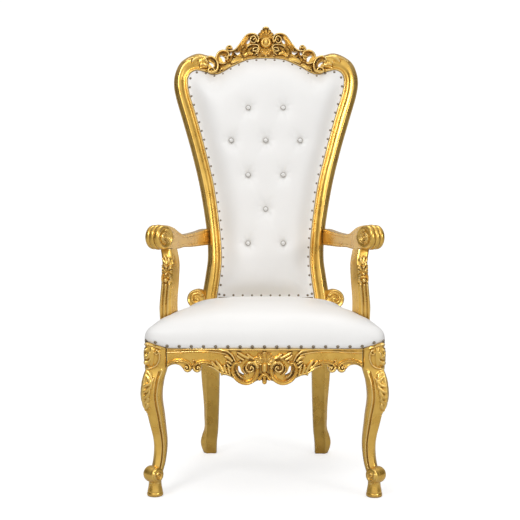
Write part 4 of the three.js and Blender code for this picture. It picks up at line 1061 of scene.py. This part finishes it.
angle = np.linspace(0, 2 * np.pi, 300, endpoint=False)[None, :]
scales = np.r_[[0.96, 0.985, 0.99], 1 - np.linspace(0, 1, 90) ** 1.9 * 0.995][:, None]
u, v, x, y = seat_plan(angle, scales)
base = RAIL_TOP - 0.2 + corner_lift(x, y)
skirt = 9.0
z = base + skirt + (SEAT_CROWN - RAIL_TOP - skirt - 0.5) * seat_height(scales,
                                                                       angle) * (1 - corner_lift(x, y) / 130)
z[0], z[1], z[2] = base[0], base[1], base[2] + 3
seat = np.stack([x, y, z], -1)


def pressed(points):
    """Stuffing pushed aside by a post: across is held at the post's inner face, softly towards its ends."""
    for side in (1, -1):
        p = points * [side, 1, 1]
        zz = np.clip(p[..., 2], RAIL_TOP, 700)
        rel = p[..., :2] - [ARM["rear_x"], ARM["rear_y"]]
        ahead = rel @ AHEAD - (ARM_LENGTH - POST_REAR - through(POST_BACK, zz))
        across = rel @ ASIDE - (-POST_IN + through(POST_ASIDE, zz))
        near = ease((42 - np.abs(ahead)) / 12) * (p[..., 0] > 0)
        over = np.maximum(across + 23, 0) * near
        points = (p - np.concatenate([over[..., None] * ASIDE, 0 * over[..., None]], -1)) * [side, 1, 1]
    return points


seat = pressed(seat)
seat_cushion = piece("seat_cushion", [tube(seat)], leather, ["seat_cushion"], sharp=80)

# %% [markdown]
# ## The back cushion
# It fills the opening of the frame. A flat margin is tacked inside the frame's bead, then the
# stuffing swells. Ten buttons pull it in; between neighbouring buttons the leather keeps a
# faint fold. Behind, a slightly crowned panel in the same leather closes the frame.

# %% The opening of the frame
TOP_CORNER = 9.0  # the knot of the stile where its inner edge turns over
side_line = through(ladder, np.linspace(0, TOP_CORNER, 900))[:, :2]
foot_x = float(np.interp(OPENING_LOW, side_line[:, 1], side_line[:, 0]))
side_line = np.vstack([[foot_x, OPENING_LOW], side_line[side_line[:, 1] > OPENING_LOW + 1]])
corner_part = through(ladder, np.linspace(TOP_CORNER, len(STILE) - 1, 300))[:, :2]
top_half = np.vstack([corner_part, spline(CREST_EDGE, 200)[1:]])


def opening(u, v, inset):
    """A place of the opening: v climbs its sides by length; towards the top the rows take on the top
    edge's shape."""
    sides = spline(side_line, 400)
    half = spline(top_half[::3], 400)
    sx = np.interp(v, np.linspace(0, 1, 400), sides[:, 0]) - inset
    sz = np.interp(v, np.linspace(0, 1, 400), sides[:, 1])
    tx = np.interp(1 - np.abs(u), np.linspace(0, 1, 400), half[:, 0])
    tz = np.interp(1 - np.abs(u), np.linspace(0, 1, 400), half[:, 1])
    corner_x, corner_z = sides[-1]
    shift = v**2
    x = mix(np.abs(u) * sx, tx * sx / corner_x, shift) * np.sign(u)
    return x, sz + (tz - corner_z - inset) * shift


BUTTONS = [(60, 1200), (118, 1087), (0, 1087), (60, 969), (0, 852), (60, 736)]
PLACES = [(side * x, z) for x, z in BUTTONS for side in ((-1, 1) if x else (1,))]
FOLDS = [((0, 852), (60, 736)), ((0, 852), (60, 969)), ((60, 969), (0, 1087)), ((60, 969), (118, 1087)),
         ((0, 1087), (60, 1200)),
         ((118, 1087), (60, 1200))]


def cushion_out(x, z):
    """A nearly flat margin, then a swell that rises by 1 - exp(-(d / 48)^1.7) with the distance d from
    the edge, a shallow fold along each line between neighbouring buttons, and a pull of
    exp(-(r / 23)^1.35) at each button."""
    width = np.interp(z, side_line[:, 1], side_line[:, 0])
    top_edge = np.interp(np.abs(x), top_half[::-1, 0], top_half[::-1, 1])
    d_side, d_top, d_low = width - np.abs(x), top_edge - z, z - OPENING_LOW
    d = -22 * np.log(sum(np.exp(-np.clip(one, 0, 400) / 22) for one in (d_side, d_top, d_low)))
    swell = 40 * (1 - np.exp(-((np.clip(d, 0, None) / 48) ** 1.7)))
    out = -5 + swell
    fold = np.zeros_like(x)
    for (ax, az), (bx, bz) in FOLDS:
        for side in (1, -1):
            run = np.array([side * (bx - ax), bz - az], float)
            f = np.clip(((x - side * ax) * run[0] + (z - az) * run[1]) / (run @ run), 0, 1)
            away = np.hypot(x - side * ax - f * run[0], z - az - f * run[1])
            fold = np.maximum(fold, hump(away, 0, 9) * (0.55 + 0.45 * np.cos(2 * np.pi * f)))
    out = out - 2.8 * fold * np.clip(swell / 30, 0, 1)
    for bx, bz in PLACES:
        r = np.hypot(x - bx, z - bz)
        turn = np.arctan2(z - bz, x - bx)
        out = out - 13 * np.exp(-((r / 23) ** 1.35)) - 0.72 * np.cos(7 * turn + bx) * hump(r, 17, 9)
    return out


# %% The back cushion
FRAME_GAP, CUSHION_BACK, PANEL_FRONT = 0.6, -38.6, -39.6


def filled(x, z, out, behind):
    """A sheet over a grid of places on the back, closed at its edge by walls down to a flat level behind."""
    rows, columns = x.shape
    rim = np.r_[np.arange(columns), np.arange(1, rows) * columns + columns - 1,
                np.arange(columns - 2, -1, -1) + (rows - 1) * columns, np.arange(rows - 2, 0, -1) * columns]
    low = on_back(x, z, behind).reshape(-1, 3)[rim]
    points = np.vstack([on_back(x, z, out).reshape(-1, 3), low, low.mean(0)])
    first, k = rows * columns, np.arange(len(rim))
    n = (k + 1) % len(rim)
    walls = np.column_stack([rim[n], rim[k], first + k, first + n])
    fan = np.column_stack([np.full(len(rim), len(points) - 1), first + n, first + k])
    return points, np.vstack([quads_of(rows, columns, False), walls]), fan


u, v = np.meshgrid(np.linspace(-1, 1, 150), np.linspace(0, 1, 210))
x, z = opening(u, v, FRAME_GAP)
back_cushion = piece("back_cushion", [filled(x, z, cushion_out(x, z), CUSHION_BACK)], leather,
                     ["back_cushion"], sharp=80)

# %% The outside back
u, v = np.meshgrid(np.linspace(-1, 1, 70), np.linspace(0, 1, 110))
x, z = opening(u, v, FRAME_GAP)
d = np.minimum(1 - np.abs(u), np.minimum(v, 1 - v) * 2)
panel_out = -49.5 - 5.5 * (1 - np.exp(-np.clip(d, 0, 1) * 9))
piece("back_panel", [filled(x, z, panel_out, PANEL_FRONT)], leather, ["back_panel"],
      sharp=60)

# %% [markdown]
# ## Buttons, nails and the underside
# Each button has a metal rim and a pearly crown. Decorative nails stand in a row along every
# edge of the leather. A black dust cloth closes the seat from below.

# %% Buttons
profile = np.array([[0.1, -1.5], [7.6, -1.5], [8.3, -0.6], [8.5, 0.8], [8.3, 2.0], [7.6, 2.7], [6.9, 2.6],
                    [6.5, 2.2], [6.0, 3.1], [5.0, 4.4], [3.6, 5.4], [1.9, 6.0],
                    [0.1, 6.2]])
button_rings = turned(profile, 40)
for i, (bx, bz) in enumerate(PLACES):
    low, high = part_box(f"button_{i + 1}")
    centre = (np.array(low) + np.array(high)) / 2 / MM
    seat_out = (BACK_Y + (bz - SEAT_LINE) * RAKE + SHIFT_Y) - high[1] / MM + 1.2
    rings = on_back(centre[0] + button_rings[..., 0], centre[2] + button_rings[..., 1],
                    seat_out + button_rings[..., 2])
    obj = piece(f"button_{i + 1}", [tube(rings)], pearl, [f"button_{i + 1}"], sharp=80)
    rim_mark = obj.data.attributes.new("rim", "FLOAT", "POINT")
    on_rim = np.repeat((profile[:, 0] > 6.2).astype(np.float32), 40)
    rim_mark.data.foreach_set("value", np.r_[on_rim, 1, 0].astype(np.float32))

# %% Nails
def nail_heads(places, normals, radius=4.7):
    """Domed heads: a low cap of a sphere turned about each nail's own normal."""
    shells = []
    profile = [[0.1, -2.0], [radius, -2.0], [radius, -0.2], [radius * 0.93, 0.9], [radius * 0.7, 1.9],
               [radius * 0.38, 2.5], [0.1, 2.7]]
    ring = turned(profile, 12)
    for place, normal in zip(places, normals):
        normal = normal / np.linalg.norm(normal)
        first = np.cross(normal, [0, 0, 1.0]) if abs(normal[2]) < 0.9 else np.array([1.0, 0, 0])
        first = first / np.linalg.norm(first)
        second = np.cross(normal, first)
        shells.append(tube(place + ring[..., :1] * first + ring[..., 1:2] * second + ring[..., 2:3] * normal))
    return shells


# Around the seat, along the leather's lower edge. None where a post presses the leather in, and
# none at the back.
SEAT_NAIL_STEP, BACK_NAIL_STEP = 35.5, 31.5
loop = np.linspace(-np.pi, np.pi, 3000)
_, _, nx, ny = seat_plan(loop, 0.9995)
run = np.r_[0, np.cumsum(np.hypot(np.diff(nx), np.diff(ny)))]
count = int(round(run[-1] / SEAT_NAIL_STEP))
at = np.interp((np.arange(count) + 0.5) * run[-1] / count, run, loop)
_, _, nx, ny = seat_plan(at, 0.9995)
_, _, ax, ay = seat_plan(at + 0.003, 0.9995)
tangent = np.column_stack([ax - nx, ay - ny, 0 * nx])
outward = np.cross(tangent, [0, 0, 1.0])
height = RAIL_TOP + 5.5 + corner_lift(nx, ny)
places = np.column_stack([nx, ny, height])
clear = (np.hypot(*(pressed(places[:, None])[:, 0] - places)[:, :2].T) < 0.5) & (ny < 150)
outward = outward[clear] / np.linalg.norm(outward[clear], axis=1)[:, None]
piece("seat_nails", nail_heads(places[clear] + outward * 0.3, outward), nail_brass)

# Around the back: inside the frame's bead, and around the outside back.
edge_u = np.r_[np.full(700, 1.0), np.linspace(1, -1, 700), np.full(700, -1.0), np.linspace(-1, 1, 400)]
edge_v = np.r_[np.linspace(0, 1, 700), np.full(700, 1.0), np.linspace(1, 0, 700), np.zeros(400)]
for name, inset, level, sign in (("back_nails", 6.5, -4.8, 1), ("outside_back_nails", 9.0, -50.6, -1)):
    ex, ez = opening(edge_u, edge_v, inset)
    ez = np.where(edge_v == 0, ez + inset, ez)
    run = np.r_[0, np.cumsum(np.hypot(np.diff(ex), np.diff(ez)))]
    count = int(round(run[-1] / BACK_NAIL_STEP))
    s = (np.arange(count) + 0.5) * run[-1] / count
    ex, ez = np.interp(s, run, ex), np.interp(s, run, ez)
    normal = np.array([0, -1.0, -RAKE]) * sign
    piece(name, nail_heads(on_back(ex, ez, level), np.repeat(normal[None], len(ex), 0), 4.1), nail_brass)

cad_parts["seat_board"].data.materials.clear()
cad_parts["seat_board"].data.materials.append(dust_cloth)

# %% [markdown]
# ## Stage, light and camera
# A pale sweep, a large soft light from the front left, a weaker one from the right and one from
# above keep the gilding bright. The surround is pale in front and behind and dark at both
# sides, so that the rounded gold has something dark to mirror. The camera sees it as white.

# %% Floor
x, y = np.meshgrid(np.linspace(-6, 6, 3), np.r_[np.linspace(-6, 2.2, 3),
                                                2.2 + 1.6 * np.sin(np.linspace(0.1, np.pi / 2, 14)), 3.8])
z = np.r_[np.zeros(3), 1.6 * (1 - np.cos(np.linspace(0.1, np.pi / 2, 14))), 7.0][:, None] + 0 * x
mesh = bpy.data.meshes.new("floor")
mesh.from_pydata(np.stack([x, y, z], -1).reshape(-1, 3).tolist(), [], quads_of(len(x), 3, False).tolist())
mesh.shade_smooth()
floor = bpy.data.objects.new("floor", mesh)
bpy.context.scene.collection.objects.link(floor)
paper, tree, shader = new_material("white_paper")
shader.inputs["Base Color"].default_value = (0.62, 0.62, 0.62, 1)
shader.inputs["Roughness"].default_value = 0.8
seen = tree.nodes.new("ShaderNodeLightPath")
tree.links.new(blend_colour(tree, seen.outputs["Is Camera Ray"], (0, 0, 0), (1, 1, 1)),
               shader.inputs["Emission Color"])
shader.inputs["Emission Strength"].default_value = 0.62
mesh.materials.append(paper)

# %% Lights
def turn_towards(obj, direction):
    """Lamps and cameras look down their own -Z."""
    obj.rotation_euler = Vector(direction).to_track_quat("-Z", "Y").to_euler()


def soft_light(name, place, target, size, power):
    """A square lamp turned towards a place."""
    lamp = bpy.data.lights.new(name, "AREA")
    lamp.shape, lamp.size, lamp.energy = "SQUARE", size, power
    obj = bpy.data.objects.new(name, lamp)
    bpy.context.scene.collection.objects.link(obj)
    obj.location = place
    turn_towards(obj, np.array(target) - np.array(place))


soft_light("key", (-1.6, -3.2, 3.2), (0, 0, 0.8), 1.1, 55)
soft_light("fill", (2.6, -2.6, 1.6), (0, 0, 0.7), 1.0, 22)
soft_light("top", (0.2, 0.6, 3.6), (0, 0, 0.6), 1.4, 18)
world = bpy.data.worlds.new("surround")
world.use_nodes = True
tree = world.node_tree
direction, parts, sideways = (tree.nodes.new("ShaderNode" + kind)
                              for kind in ("TexCoord", "SeparateXYZ", "Math"))
sideways.operation = "ABSOLUTE"
tree.links.new(direction.outputs["Generated"], parts.inputs["Vector"])
tree.links.new(parts.outputs["X"], sideways.inputs[0])
flags = blend_colour(tree, ramp(tree, sideways.outputs["Value"], 0.45, 0.85), (1, 1, 1), (0.10, 0.09, 0.08))
surround, backdrop = tree.nodes["Background"], tree.nodes.new("ShaderNodeBackground")
tree.links.new(flags, surround.inputs["Color"])
surround.inputs["Strength"].default_value = 0.8
backdrop.inputs["Color"].default_value = (1, 1, 1, 1)
seen, choice = tree.nodes.new("ShaderNodeLightPath"), tree.nodes.new("ShaderNodeMixShader")
tree.links.new(seen.outputs["Is Camera Ray"], choice.inputs["Fac"])
tree.links.new(surround.outputs["Background"], choice.inputs[1])
tree.links.new(backdrop.outputs["Background"], choice.inputs[2])
tree.links.new(choice.outputs["Shader"], tree.nodes["World Output"].inputs["Surface"])
bpy.context.scene.world = world
bpy.context.scene.view_settings.view_transform = "Standard"

# %% Camera
camera = bpy.data.objects.new("camera", bpy.data.cameras.new("camera"))
bpy.context.scene.collection.objects.link(camera)
camera.data.lens, camera.data.sensor_width, camera.data.shift_y = 71.1, 36.0, 0.0033
camera.location = (0.022, -3.3 + SHIFT_Y * MM, 0.841)
turn_towards(camera, (-0.01176, 1.0, -0.04804))
bpy.context.scene.camera = camera

# %% Sizes, and the end
print(sum(made.values()), "triangles in", len(made), "pieces")
